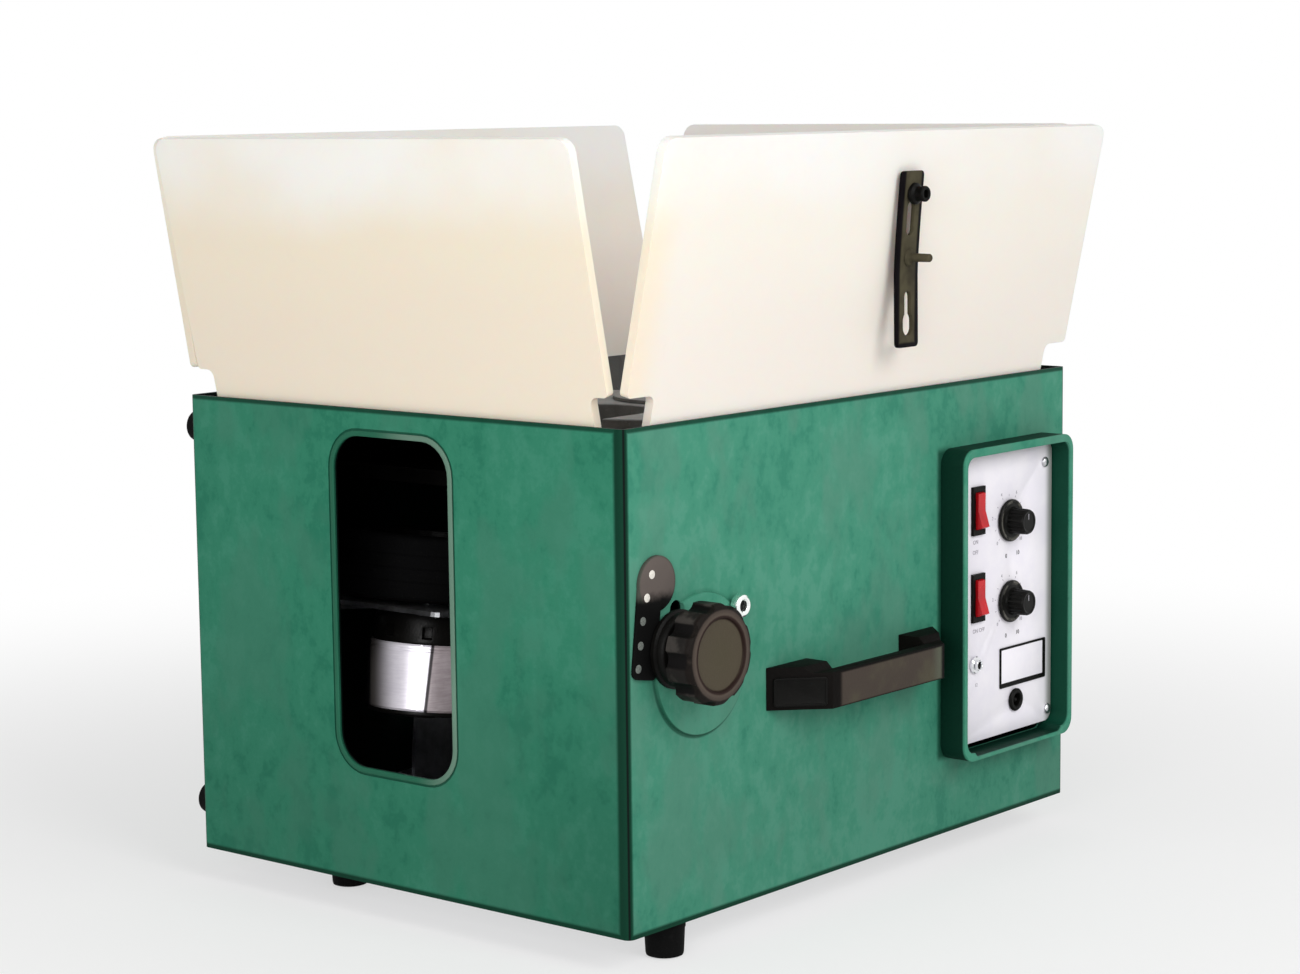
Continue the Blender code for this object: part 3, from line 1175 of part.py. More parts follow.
def hopper_floor(hopper):
    """The bowl between the panels, lofted from their four sides down to a round well for the carousel."""
    run = tan(HOPPER_LEAN)
    sheet = HOPPER_SHEET / cos(HOPPER_LEAN)

    def square(z, inset):
        """Half width and half depth inside the panels at a height."""
        lost = HOPPER_INSET + sheet + (CASING_HEIGHT - z) * run + inset
        return HALF_WIDTH - lost, HALF_DEPTH - lost

    def ring(radius, z):
        return [(radius * cos(t), CAROUSEL_Y + radius * sin(t), FOOT_HEIGHT + z) for t in turns]

    def sides(z, inset):
        half_width, half_depth = square(z, inset)
        points = []
        for t in turns:
            x_room = half_width / abs(cos(t)) if abs(cos(t)) > 1e-9 else 10
            wall = half_depth - CAROUSEL_Y if sin(t) > 0 else half_depth + CAROUSEL_Y
            y_room = wall / abs(sin(t)) if abs(sin(t)) > 1e-9 else 10
            reach = min(x_room, y_room)
            points.append((reach * cos(t), CAROUSEL_Y + reach * sin(t), FOOT_HEIGHT + z))
        return points

    half_width, half_depth = square(FLOOR_EDGE_Z, FIT)
    corners = [Vector((x, y - CAROUSEL_Y)) for x in (-half_width, half_width) for y in (-half_depth, half_depth)]
    turns = [2 * pi * i / FLOOR_SIDES for i in range(FLOOR_SIDES)]
    turns = [t for t in turns if all(abs(t - v.angle_signed(Vector((1, 0))) % (2 * pi)) > 0.03 for v in corners)]
    turns = sorted(turns + [v.angle_signed(Vector((1, 0))) % (2 * pi) for v in corners])
    well = CAROUSEL_RADIUS + FLOOR_BOWL_GAP
    low = DECK_TOP_Z + FIT
    loops = [
        sides(FLOOR_EDGE_Z, FIT),
        ring(well, FLOOR_BOWL_Z),
        ring(well, low),
        ring(well + FLOOR_SHEET, low),
        ring(well + FLOOR_SHEET, FLOOR_BOWL_Z - FLOOR_SHEET),
        sides(FLOOR_EDGE_Z - FLOOR_SHEET, FIT),
    ]
    edit = bmesh.new()
    rows = [[edit.verts.new(point) for point in loop] for loop in loops]
    for row, following in zip(rows, rows[1:] + rows[:1]):
        for i in range(len(turns)):
            k = (i + 1) % len(turns)
            edit.faces.new((row[i], row[k], following[k], following[i]))
    bmesh.ops.recalc_face_normals(edit, faces=edit.faces)
    mesh = bpy.data.meshes.new("floor")
    edit.to_mesh(mesh)
    edit.free()
    bowl = link(bpy.data.objects.new("floor", mesh), PARTS)
    return finish(bowl, "hopper_floor", BLACK_PLASTIC, hopper, smooth=30)


def strap_side():
    """Side view of the strap: a thin bar bowed off the panel between its two ends."""
    steps = 8
    length = STRAP_HIGH - STRAP_LOW

    def bow(i):
        return STRAP_LOW + length * i / steps, STRAP_END_GAP + STRAP_BOW * sin(pi * i / steps)

    inner = [bow(i) for i in range(steps + 1)]
    return inner + [(v, n + STRAP_SHEET) for v, n in reversed(inner)]


def strap_offset(v):
    """Height of the strap's outer face above the panel."""
    share = (v - STRAP_LOW) / (STRAP_HIGH - STRAP_LOW)
    return STRAP_END_GAP + STRAP_BOW * sin(pi * share) + STRAP_SHEET


def strap_set(hopper):
    """The slotted strap, its pull peg, and the button that it hangs and turns on."""
    panel = hopper_frame("right")
    across = Vector(panel.col[0][:3])
    up = Vector(panel.col[1][:3])
    out = Vector(panel.col[2][:3])
    side = frame(panel.translation + across * (STRAP_Y - STRAP_WIDTH / 2), up, out)
    strap = solid_outline([strap_side()], STRAP_WIDTH, side)
    edit = bmesh.new()
    edit.from_mesh(strap.data)
    ends = [v.co.x for v in edit.verts]
    corners = [
        e
        for e in edit.edges
        if abs((e.verts[0].co - e.verts[1].co).normalized().y) > 0.9
        and (min(v.co.x for v in e.verts) < min(ends) + 1e-5 or max(v.co.x for v in e.verts) > max(ends) - 1e-5)
    ]
    bmesh.ops.bevel(edit, geom=corners, offset=STRAP_CORNER, segments=4, profile=0.5, affect="EDGES")
    edit.to_mesh(strap.data)
    edit.free()
    button = panel @ Matrix.Translation((STRAP_Y, STRAP_BUTTON, 0))
    pivot = axis_empty("strap_axis", button, hopper)
    deep = 4 * STRAP_SHEET
    upper = slot_outline((STRAP_Y, STRAP_SLOT_LOW), (STRAP_Y, STRAP_BUTTON), STRAP_SLOT_WIDTH)
    boolean(strap, solid_outline([upper], deep, panel, -FIT))
    lower = slot_outline((STRAP_Y, KEYHOLE_LOW), (STRAP_Y, KEYHOLE_TOP), KEYHOLE_SLOT_WIDTH)
    boolean(strap, solid_outline([lower], deep, panel, -FIT))
    boolean(strap, disc(KEYHOLE_RADIUS, -FIT, deep, panel @ Matrix.Translation((STRAP_Y, KEYHOLE_LOW, 0))))
    peg_top = strap_offset(STRAP_PEG) + STRAP_PEG_LENGTH
    radius = STRAP_PEG_RADIUS
    face = strap_offset(STRAP_PEG)
    boss = STRAP_BOSS_RADIUS
    profile = [(0, peg_top), (radius * 0.7, peg_top), (radius, peg_top - 0.001), (radius, face + STRAP_BOSS)]
    profile += [(boss - 0.001, face + STRAP_BOSS), (boss, face + STRAP_BOSS - 0.001)]
    profile += [(boss, face - STRAP_SHEET / 2), (0, face - STRAP_SHEET / 2)]
    peg = turned(profile, panel @ Matrix.Translation((STRAP_Y, STRAP_PEG, 0)), SMALL_ROUND)
    boolean(strap, peg, "UNION")
    finish(strap, "latch_strap", BLACK_PLASTIC, pivot, smooth=35)
    head_low = strap_offset(STRAP_BUTTON) + FIT
    top = head_low + BUTTON_RISE
    hollow = BUTTON_HOLLOW_RADIUS
    neck = BUTTON_NECK_RADIUS
    profile = [(0, top - BUTTON_HOLLOW), (hollow, top - BUTTON_HOLLOW), (hollow, top), (neck - 0.0005, top)]
    profile += [(neck, top - 0.0005), (neck, head_low + BUTTON_RISE * 0.35), (BUTTON_RADIUS, head_low + 0.003)]
    profile += [(BUTTON_RADIUS, head_low), (BUTTON_SHANK_RADIUS, head_low), (BUTTON_SHANK_RADIUS, FIT), (0, FIT)]
    finish(turned(profile, button, SMALL_ROUND), "latch_button", BLACK_PLASTIC, hopper)


clear_scene()
PARTS = new_collection(NAME)
CUTTERS = new_collection("cutters")

GREEN_CASING = material("green_casing", (0.050, 0.215, 0.150), 0.45)
WHITE_HOPPER = material("white_hopper", (0.86, 0.84, 0.78), 0.40)
BLACK_PLASTIC = material("black_plastic", (0.012, 0.012, 0.012), 0.45)
BROWN_BLACK_PLASTIC = material("brown_black_plastic", (0.040, 0.032, 0.028), 0.50)
BLACK_RUBBER = material("black_rubber", (0.010, 0.010, 0.010), 0.80)
DARK_TYRE = material("dark_tyre", (0.030, 0.030, 0.032), 0.75)
GREY_PLASTIC = material("grey_plastic", (0.20, 0.20, 0.20), 0.50)
ZINC_STEEL = material("zinc_steel", (0.55, 0.55, 0.56), 0.38, 1.0)
DULL_STEEL = material("dull_steel", (0.62, 0.62, 0.64), 0.30, 1.0)
ALUMINIUM = material("aluminium", (0.66, 0.66, 0.68), 0.35, 1.0)
CHROME = material("chrome", (0.80, 0.80, 0.82), 0.12, 1.0)
WHITE_PLATE = material("white_plate", (0.72, 0.73, 0.78), 0.40)
RED_ROCKER = material("red_rocker", (0.60, 0.012, 0.012), 0.30)
GREEN_BOARD = material("green_board", (0.015, 0.11, 0.045), 0.45)
DARK_BATTERY = material("dark_battery", (0.030, 0.031, 0.034), 0.50)

casing_shell()
base_pan()
feet()
feed_deck()
drop_chute()
feed_gearmotor()
feed_carousel(axis_empty("carousel_axis", upright(0, CAROUSEL_Y, FOOT_HEIGHT + DECK_TOP_Z)))
pivot_fittings()
HEAD = axis_empty("head_pivot", Matrix.Translation(head_point(0, 0, 0)))
head_cradle(HEAD)
guide_trough(HEAD)
throwing_motors(HEAD)
throwing_wheels(HEAD)
elevation_clamp(HEAD)
HEAD.rotation_euler.x = -REST_TILT
elevation_scale()
latch_stud()
control_box()
control_plate()
switches()
dials()
sockets()
circuit_board()
carry_handle()
battery_set()
HOPPER = axis_empty("hopper_lift", upright(0, 0, CASING_TOP))
hopper_floor(HOPPER)
hopper_panels(HOPPER)
strap_set(HOPPER)
bpy.context.view_layer.update()
print("tilt limits, degrees:", round(-degrees(TILT_DOWN), 2), round(degrees(TILT_UP), 2))
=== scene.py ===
# %% [markdown]
# # Dressing a pickleball machine
#
# The machine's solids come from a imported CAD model, which fixes every size and every joint. This lesson
# gives those solids their looks: a mottled green casing, a milky hopper, black mouldings with soft edges,
# and the small printed and turned pieces of the control panel. Everything is in metres, with +Z up, the
# ball exit towards -Y and the controls towards +X.

# %% Load the frame
import json
from math import cos, pi, radians, sin

import bmesh
import bpy
from mathutils import Matrix, Vector


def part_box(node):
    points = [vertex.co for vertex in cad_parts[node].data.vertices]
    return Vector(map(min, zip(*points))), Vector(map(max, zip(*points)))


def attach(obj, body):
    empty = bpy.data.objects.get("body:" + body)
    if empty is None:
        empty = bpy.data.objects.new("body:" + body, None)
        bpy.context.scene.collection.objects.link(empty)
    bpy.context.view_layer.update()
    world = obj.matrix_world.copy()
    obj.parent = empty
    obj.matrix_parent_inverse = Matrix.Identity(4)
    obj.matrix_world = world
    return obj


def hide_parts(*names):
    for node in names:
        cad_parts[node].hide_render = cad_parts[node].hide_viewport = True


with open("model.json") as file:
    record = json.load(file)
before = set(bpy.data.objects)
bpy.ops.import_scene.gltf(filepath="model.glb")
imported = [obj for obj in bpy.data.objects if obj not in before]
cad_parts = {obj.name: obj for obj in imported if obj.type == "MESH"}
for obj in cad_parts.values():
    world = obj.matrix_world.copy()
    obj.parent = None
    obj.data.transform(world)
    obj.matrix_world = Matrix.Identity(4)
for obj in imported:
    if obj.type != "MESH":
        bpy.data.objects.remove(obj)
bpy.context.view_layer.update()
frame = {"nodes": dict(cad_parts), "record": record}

# %% [markdown]
# ## The camera
#
# The photograph was taken from the front right, a little above the machine, from about two metres away.
# The camera's place and lens come from fitting the corners of the casing and of the hopper to the
# photograph, so the two pictures can be laid over each other. The lens is long, so the upright edges
# stay nearly parallel.

# %% Camera
YAW, PITCH, ROLL = radians(39.8779), radians(7.4861), radians(0.6824)
CAMERA_PLACE = (1.2996, -1.5474, 0.5191)
FOCAL_PIXELS, PHOTO_WIDTH = 2982.4, 1300

forward = Vector((-sin(YAW) * cos(PITCH), cos(YAW) * cos(PITCH), -sin(PITCH)))
level_right = Vector((cos(YAW), sin(YAW), 0))
level_down = forward.cross(level_right)
right = cos(ROLL) * level_right + sin(ROLL) * level_down
down = cos(ROLL) * level_down - sin(ROLL) * level_right

camera_data = bpy.data.cameras.new("camera")
camera_data.sensor_width = 36
camera_data.lens = FOCAL_PIXELS / PHOTO_WIDTH * camera_data.sensor_width
camera = bpy.data.objects.new("camera", camera_data)
bpy.context.scene.collection.objects.link(camera)
turn = Matrix((right, -down, -forward)).transposed().to_4x4()
camera.matrix_world = Matrix.Translation(CAMERA_PLACE) @ turn
bpy.context.scene.camera = camera
print("lens", round(camera_data.lens, 2), "mm")

# %% [markdown]
# ## Shader maths
#
# A finish on a real machine is never one flat colour: a moulding has clouds in its dye, a grain from its
# mould and edges that catch dust. Such a pattern is a sum of noises and masks, and in the node editor it
# soon turns into a web of Math nodes. Here one small class wraps a node's output, so that the sum can be
# written the way it is thought: `cloud * 0.6 + grain * 0.4`.


# %% A wire between shader nodes
class Wire:
    """One output of a shader node. Python's operators on it add Math nodes."""

    def __init__(self, socket):
        self.socket = socket
        self.tree = socket.id_data

    def node(self, kind, sockets, out=0, **settings):
        """Adds a node: its settings first, then the values or wires of its sockets."""
        made = self.tree.nodes.new(kind)
        for name, value in settings.items():
            setattr(made, name, value)
        for name, value in sockets.items():
            if isinstance(value, Wire):
                self.tree.links.new(value.socket, made.inputs[name])
            else:
                made.inputs[name].default_value = value
        return Wire(made.outputs[out])

    def math(self, operation, *values):
        return self.node("ShaderNodeMath", dict(enumerate(values)), operation=operation)

    def __add__(self, other):
        return self.math("ADD", self, other)

    def __sub__(self, other):
        return self.math("SUBTRACT", self, other)

    def __rsub__(self, other):
        return self.math("SUBTRACT", other, self)

    def __mul__(self, other):
        return self.math("MULTIPLY", self, other)

    def __abs__(self):
        return self.math("ABSOLUTE", self)

    __radd__ = __add__

    def most(self, other):
        return self.math("MAXIMUM", self, other)

    def far(self, other):
        """The length of the two numbers taken as a way across and a way along."""
        return self.math("SQRT", self * self + other * other)

    def fade(self, start, end):
        """0 below start and 1 above end, with a soft step between. A higher start turns it round."""
        sockets = {"Value": self, "From Min": start, "From Max": end}
        return self.node("ShaderNodeMapRange", sockets, interpolation_type="SMOOTHSTEP")

    def ramp(self, *stops):
        """Turns a value into a colour along soft stops of (place, colour)."""
        made = self.node("ShaderNodeValToRGB", {"Fac": self})
        ramp = made.socket.node.color_ramp
        ramp.interpolation = "EASE"
        while len(ramp.elements) < len(stops):
            ramp.elements.new(1.0)
        for element, (place, colour) in zip(ramp.elements, stops):
            element.position = place
            element.color = (*colour, 1.0)
        return made

    def mix(self, first, second, blend_type="MIX"):
        """Mixes two colours, with this wire as the share of the second."""
        made = self.tree.nodes.new("ShaderNodeMix")
        made.data_type = "RGBA"
        made.blend_type = blend_type
        for socket, value in zip((made.inputs[0], made.inputs[6], made.inputs[7]), (self, first, second)):
            if isinstance(value, Wire):
                self.tree.links.new(value.socket, socket)
            else:
                socket.default_value = (*value, 1.0)
        return Wire(made.outputs[2])

    def stretched(self, x, y, z):
        """These coordinates, stretched along each axis."""
        return self.node("ShaderNodeMapping", {"Vector": self, "Scale": (x, y, z)})

    def noise(self, scale, detail, roughness):
        """Noise on these coordinates, with scale in lumps per metre."""
        sockets = {"Vector": self, "Scale": scale, "Detail": detail, "Roughness": roughness}
        return self.node("ShaderNodeTexNoise", sockets)

    def cells(self, scale):
        """Distance to the nearest point of a scattered grid, for pebbled and cast grain."""
        return self.node("ShaderNodeTexVoronoi", {"Vector": self, "Scale": scale})

    def axes(self):
        """The three coordinates as separate wires."""
        split = self.node("ShaderNodeSeparateXYZ", {"Vector": self})
        return [Wire(socket) for socket in split.socket.node.outputs]

    def bump(self, depth, strength):
        """A normal from this height, with depth in metres."""
        sockets = {"Height": self, "Distance": depth, "Strength": strength}
        return self.node("ShaderNodeBump", sockets, out="Normal")


# %% From wires to a material
def finish(name, paint, **constants):
    """A material: constants go straight on the shader's sockets, and paint(coordinates) returns the wires
    of its colour, its roughness and, where the skin isn't smooth, its normal."""
    made = bpy.data.materials.new(name)
    made.use_nodes = True
    shader = made.node_tree.nodes["Principled BSDF"]
    for socket, value in constants.items():
        shader.inputs[socket.replace("_", " ")].default_value = value
    place = made.node_tree.nodes.new("ShaderNodeTexCoord")
    for socket, wire in zip(("Base Color", "Roughness", "Normal"), paint(Wire(place.outputs["Object"]))):
        made.node_tree.links.new(wire.socket, shader.inputs[socket])
    return made


print("shader helpers ready")

# %% [markdown]
# ## Floor, backdrop and light
#
# The photograph is a cut-out on white. Here the floor is a wide pale sheet. Straight to the camera, most
# of what it sends is a plain white, which grows to all of it away from the machine, so that the picture
# has no horizon and yet keeps the machine's soft shadow. A large lamp on the right and a smaller one near
# the camera give the light of a product studio with an even world, at a level where a colour renders
# about as it is written. A narrow beam goes through the ball exit to the bright motor behind it.

# %% Floor and world
SKY = 0.40
FLOOR_SIZE, FLOOR_TONE, NEAR_WHITE, SHADOW_REACH = 24, 0.90, 0.55, (0.30, 1.30)
scene = bpy.context.scene
scene.view_settings.view_transform = "Standard"


def straight_rays(nodes):
    """1 for what the camera or a shiny surface sees, and 0 for light on its way to a dull one."""
    rays = nodes.new("ShaderNodeLightPath").outputs
    return Wire(rays["Is Camera Ray"]).most(Wire(rays["Is Glossy Ray"]))


bpy.ops.object.select_all(action="DESELECT")
bpy.ops.mesh.primitive_plane_add(size=FLOOR_SIZE, location=(0, 0, -0.0004))
floor = bpy.context.object
floor.name = "studio_floor"

floor_look = bpy.data.materials.new("pale_floor")
floor_look.use_nodes = True
floor_nodes, floor_links = floor_look.node_tree.nodes, floor_look.node_tree.links
sheet_shader = floor_nodes["Principled BSDF"]
sheet_shader.inputs["Base Color"].default_value = (FLOOR_TONE, FLOOR_TONE, FLOOR_TONE, 1)
sheet_shader.inputs["Roughness"].default_value = 0.9
across, along, up = Wire(floor_nodes.new("ShaderNodeTexCoord").outputs["Object"]).axes()
white_share = across.far(along).fade(*SHADOW_REACH) * (1 - NEAR_WHITE) + NEAR_WHITE
white_light = floor_nodes.new("ShaderNodeEmission")
blend = floor_nodes.new("ShaderNodeMixShader")
floor_links.new((straight_rays(floor_nodes) * white_share).socket, blend.inputs[0])
floor_links.new(sheet_shader.outputs[0], blend.inputs[1])
floor_links.new(white_light.outputs[0], blend.inputs[2])
floor_links.new(blend.outputs[0], floor_nodes["Material Output"].inputs["Surface"])
floor.data.materials.append(floor_look)

world = bpy.data.worlds.new("studio")
world.use_nodes = True
scene.world = world
background = world.node_tree.nodes["Background"]
strength = straight_rays(world.node_tree.nodes) * (1 - SKY) + SKY
world.node_tree.links.new(strength.socket, background.inputs["Strength"])
background.inputs["Color"].default_value = (1, 1, 1, 1)
print("floor and world ready")


# %% Lamps
def lamp(kind, name, place, target, watts, **settings):
    """A lamp of some kind at a place, facing a target."""
    data = bpy.data.lights.new(name, kind)
    data.energy = watts
    for setting, value in settings.items():
        setattr(data, setting, value)
    made = bpy.data.objects.new(name, data)
    scene.collection.objects.link(made)
    made.location = place
    made.rotation_euler = (Vector(target) - Vector(place)).to_track_quat("-Z", "Y").to_euler()


MOTOR_FRONT = (-0.073, -0.147, 0.131)
BEAM = {"spot_size": radians(2.6), "spot_blend": 0.5, "shadow_soft_size": 0.01}
lamp("AREA", "lamp_right", (2.5, -0.5, 1.7), (0, 0, 0.25), 39, shape="SQUARE", size=1.6)
lamp("AREA", "lamp_camera", (0.95, -2.1, 0.75), (0, -0.1, 0.2), 20, shape="SQUARE", size=1.1)
lamp("SPOT", "lamp_exit", (1.15, -1.75, 0.42), MOTOR_FRONT, 84, **BEAM)

# %% [markdown]
# ## Modelling helpers
#
# Every new piece is made as by hand: add a primitive, select faces or edges, extrude, inset or bevel,
# then let modifiers finish it. An operator acts on all that is selected, so each helper clears the
# selection first. Pieces are drawn around the origin with Z along their own axis, and then their place
# is applied to the mesh, as a CAD node's is.


# %% Selecting and editing
def deselect():
    """Leaves edit mode and clears the selection."""
    if bpy.context.object and bpy.context.object.mode != "OBJECT":
        bpy.ops.object.mode_set(mode="OBJECT")
    bpy.ops.object.select_all(action="DESELECT")


def choose(piece):
    """Selects one piece alone and makes it active."""
    deselect()
    bpy.context.view_layer.objects.active = piece
    piece.select_set(True)


def opened(piece, kind, wanted):
    """Opens a piece in edit mode with those faces or edges selected for which wanted(...) is true."""
    choose(piece)
    bpy.ops.object.mode_set(mode="EDIT")
    bpy.ops.mesh.select_mode(type=kind)
    bpy.ops.mesh.select_all(action="DESELECT")
    sheet = bmesh.from_edit_mesh(piece.data)
    parts = sheet.faces if kind == "FACE" else sheet.edges
    for part in [part for part in parts if wanted(part)]:
        part.select_set(True)
    bmesh.update_edit_mesh(piece.data)


def open_faces(piece, wanted):
    opened(piece, "FACE", wanted)


def open_edges(piece, wanted):
    opened(piece, "EDGE", wanted)


def face_out():
    """Turns all faces of the open piece outwards and closes edit mode."""
    bpy.ops.mesh.select_all(action="SELECT")
    bpy.ops.mesh.normals_make_consistent(inside=False)
    bpy.ops.object.mode_set(mode="OBJECT")


def push(way):
    """Extrudes the selected faces along Z."""
    bpy.ops.mesh.extrude_region_move(TRANSFORM_OT_translate={"value": (0, 0, way)})


# %% Primitives and modifiers
def block(name, low, high):
    """A box between two corners, the start of flat pieces."""
    deselect()
    low, high = Vector(low), Vector(high)
    bpy.ops.mesh.primitive_cube_add(size=1, location=(low + high) / 2, scale=high - low)
    made = bpy.context.object
    made.name = name
    bpy.ops.object.transform_apply(location=True, rotation=True, scale=True)
    return made


def upright(edge):
    """Whether an edge runs along Z."""
    return abs((edge.verts[0].co - edge.verts[1].co).normalized().z) > 0.9


def slab(name, width, tall, corner, low, high, at=(0, 0), segments=8):
    """A flat plate round a point: a block whose upright edges are bevelled to round corners."""
    x, y = at
    made = block(name, (x - width / 2, y - tall / 2, low), (x + width / 2, y + tall / 2, high))
    if corner:
        open_edges(made, upright)
        bpy.ops.mesh.bevel(offset=corner, segments=segments, affect="EDGES")
        face_out()
    return made


def sliced(piece, point, normal):
    """Cuts off what lies beyond a plane, on the side that its normal points to."""
    open_faces(piece, lambda face: True)
    bpy.ops.mesh.bisect(plane_co=point, plane_no=normal, use_fill=True, clear_outer=True)
    face_out()
    return piece


def rod(name, radius, low, high, segments=48, at=(0, 0), ends="NGON"):
    """A round bar along Z, the start of knobs, holes and tubes."""
    deselect()
    place = (at[0], at[1], (low + high) / 2)
    bpy.ops.mesh.primitive_cylinder_add(
        vertices=segments, radius=radius, depth=high - low, location=place, end_fill_type=ends
    )
    made = bpy.context.object
    made.name = name
    bpy.ops.object.transform_apply(location=True, rotation=True, scale=True)
    return made


def turned(name, profile, segments=64):
    """A turned shape: a disc whose face is extruded to each next (radius, height) of the profile."""
    deselect()
    radius, height = profile[0]
    bpy.ops.mesh.primitive_circle_add(vertices=segments, radius=radius, fill_type="NGON")
    made = bpy.context.object
    made.name = name
    bpy.ops.object.mode_set(mode="EDIT")
    bpy.ops.mesh.select_mode(type="FACE")
    bpy.ops.mesh.select_all(action="SELECT")
    bpy.ops.transform.translate(value=(0, 0, height))
    for next_radius, next_height in profile[1:]:
        push(next_height - height)
        ratio = next_radius / radius
        bpy.ops.transform.resize(value=(ratio, ratio, 1), center_override=(0, 0, next_height))
        radius, height = next_radius, next_height
    face_out()
    return made


def shaped(piece, kind, **settings):
    """Adds a modifier and applies it."""
    choose(piece)
    step = piece.modifiers.new(kind.lower(), kind)
    for name, value in settings.items():
        setattr(step, name, value)
    bpy.ops.object.modifier_apply(modifier=step.name)
    return piece


def softened(piece, width, segments=3, angle=35):
    """Rounds every edge that is sharper than the angle, in degrees."""
    limit = {"limit_method": "ANGLE", "angle_limit": radians(angle)}
    return shaped(piece, "BEVEL", width=width, segments=segments, **limit)


def cut(piece, cutter, operation="DIFFERENCE"):
    """Cuts a piece with another, or joins it, and removes the other."""
    shaped(piece, "BOOLEAN", operation=operation, object=cutter, solver="EXACT")
    bpy.data.objects.remove(cutter)
    return piece


def joined(name, pieces):
    """Several pieces as one."""
    deselect()
    for piece in pieces:
        piece.select_set(True)
    bpy.context.view_layer.objects.active = pieces[0]
    if len(pieces) > 1:
        bpy.ops.object.join()
    pieces[0].name = name
    return pieces[0]


def placed(piece, place):
    """Applies a place to the mesh, so that the object itself stays at the origin."""
    piece.matrix_world = place @ piece.matrix_world
    choose(piece)
    bpy.ops.object.transform_apply(location=True, rotation=True, scale=True)
    return piece


def copied(piece, name, place):
    """A copy with its own mesh, at another place."""
    choose(piece)
    bpy.ops.object.duplicate()
    made = bpy.context.object
    made.name = name
    return placed(made, place)


def around(count, reach):
    """Points at equal steps round a circle."""
    turns = [2 * pi * step / count for step in range(count)]
    return [(reach * cos(turn), reach * sin(turn)) for turn in turns]


def sunk(piece, border, depth):
    """Sinks the top of a plate inside a border."""
    open_faces(piece, lambda face: face.normal.z > 0.9)
    bpy.ops.mesh.inset(thickness=border)
    push(-depth)
    face_out()


def done(piece, look, body, slot, *nodes, at=None, smooth=35):
    """Places, smooths and paints a piece, ties it to its body, and lets it stand for its CAD nodes."""
    if at is not None:
        placed(piece, at)
    choose(piece)
    bpy.ops.object.shade_smooth_by_angle(angle=radians(smooth))
    piece.data.materials.clear()
    piece.data.materials.append(look)
    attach(piece, body)
    if nodes:
        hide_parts(*nodes)
    print(piece.name, len(piece.data.polygons), "faces on", body)


# %% Places on the machine
FEET = 0.022
HALF_WIDTH, HALF_DEPTH, CASING_TALL = 0.1875, 0.240, 0.305
CASING_TOP = FEET + CASING_TALL
PAD_PLACE, PAD_RADIUS = (-0.171, 0.157), 0.0435
BOX_RISE = 0.020
PIVOT = (0, -0.020, FEET + 0.150)
REST_TILT = radians(8)
CLEAR = 0.0003  # how far off the wall its pieces start, so that no two faces lie in one plane


def on_right(y, z, proud=0.0):
    """A place on the right wall: Z points out of it, X to the rear and Y up from the casing's lower edge."""
    return Matrix(((0, 0, 1, HALF_WIDTH + proud), (1, 0, 0, y), (0, 1, 0, FEET + z), (0, 0, 0, 1)))


def on_front():
    """A place on the front wall: Z points out of it, X to the right and Y up from the casing's lower edge."""
    return Matrix(((1, 0, 0, 0), (0, 0, -1, -HALF_DEPTH), (0, 1, 0, FEET), (0, 0, 0, 1)))


def in_head(x, y, z):
    """A place in the throwing head, measured from its pivot. At rest the head's front is tilted up."""
    tilt = Matrix.Rotation(-REST_TILT, 4, "X")
    return Matrix.Translation(PIVOT) @ tilt @ Matrix.Translation((x, y, z))


def rise(node):
    """How far a CAD node stands out of the right wall."""
    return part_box(node)[1].x - HALF_WIDTH


def beside(node):
    """The place on the right wall of a CAD node that turns or lies flat there."""
    low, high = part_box(node)
    return on_right((low.y + high.y) / 2, (low.z + high.z) / 2 - FEET, low.x - HALF_WIDTH)


print("modelling helpers ready")

# %% [markdown]
# ## The casing's green
#
# The casing and the control box are moulded from a green plastic whose dye did not mix fully. Soft clouds
# a few centimetres wide drift over it, some greyer and some bluer, with finer blotches on them, and the
# mould left a grain like leather. Over this, shade is painted: on the front wall and low down, along the
# upright corners and the rims, as shadows round the clamp's pad and beside the control box, in the exit's
# groove, on the control box's upright sides, and near black inside. The pattern reads Object coordinates,
# which are metres here, so a noise scale is simply lumps per metre.

# %% Mottled green
GREEN = (0.056, 0.256, 0.168)
DEEP_GREEN = (0.038, 0.213, 0.139)
PALE_GREEN = (0.078, 0.283, 0.195)
GREY_GREEN = (0.088, 0.244, 0.174)
# Painted shade colours: the first darkens corners, rims and shadows, the second the inside and the lower
# walls, the third the front wall.
EDGE_GREEN = (0.002, 0.034, 0.018)
INNER_GREEN = (0.001, 0.004, 0.003)
FRONT_TONE = (0.55, 0.78, 0.72)
BOX_FRONT, BOX_LEVEL = 0.0850, 0.1785


def mottled_green(place):
    """Clouds, blotches and flecks between three greens, with greyer patches, on a grain like leather."""
    cloud = place.noise(9, 3, 0.5)
    blotch = place.stretched(1, 1, 0.7).noise(75, 3, 0.55)
    fleck = place.noise(260, 3, 0.6)
    tone = cloud * 0.40 + blotch * 0.42 + fleck * 0.18
    grey = place.stretched(1, 1, 0.6).noise(23, 3, 0.55).fade(0.46, 0.62)
    colour = (grey * 0.6).mix(tone.ramp((0.40, DEEP_GREEN), (0.50, GREEN), (0.60, PALE_GREEN)), GREY_GREEN)
    grain = place.cells(420) * 0.7 + place.noise(1500, 2, 0.5) * 0.3
    return colour, 0.66 - tone * 0.2, grain.bump(0.0003, 0.4)


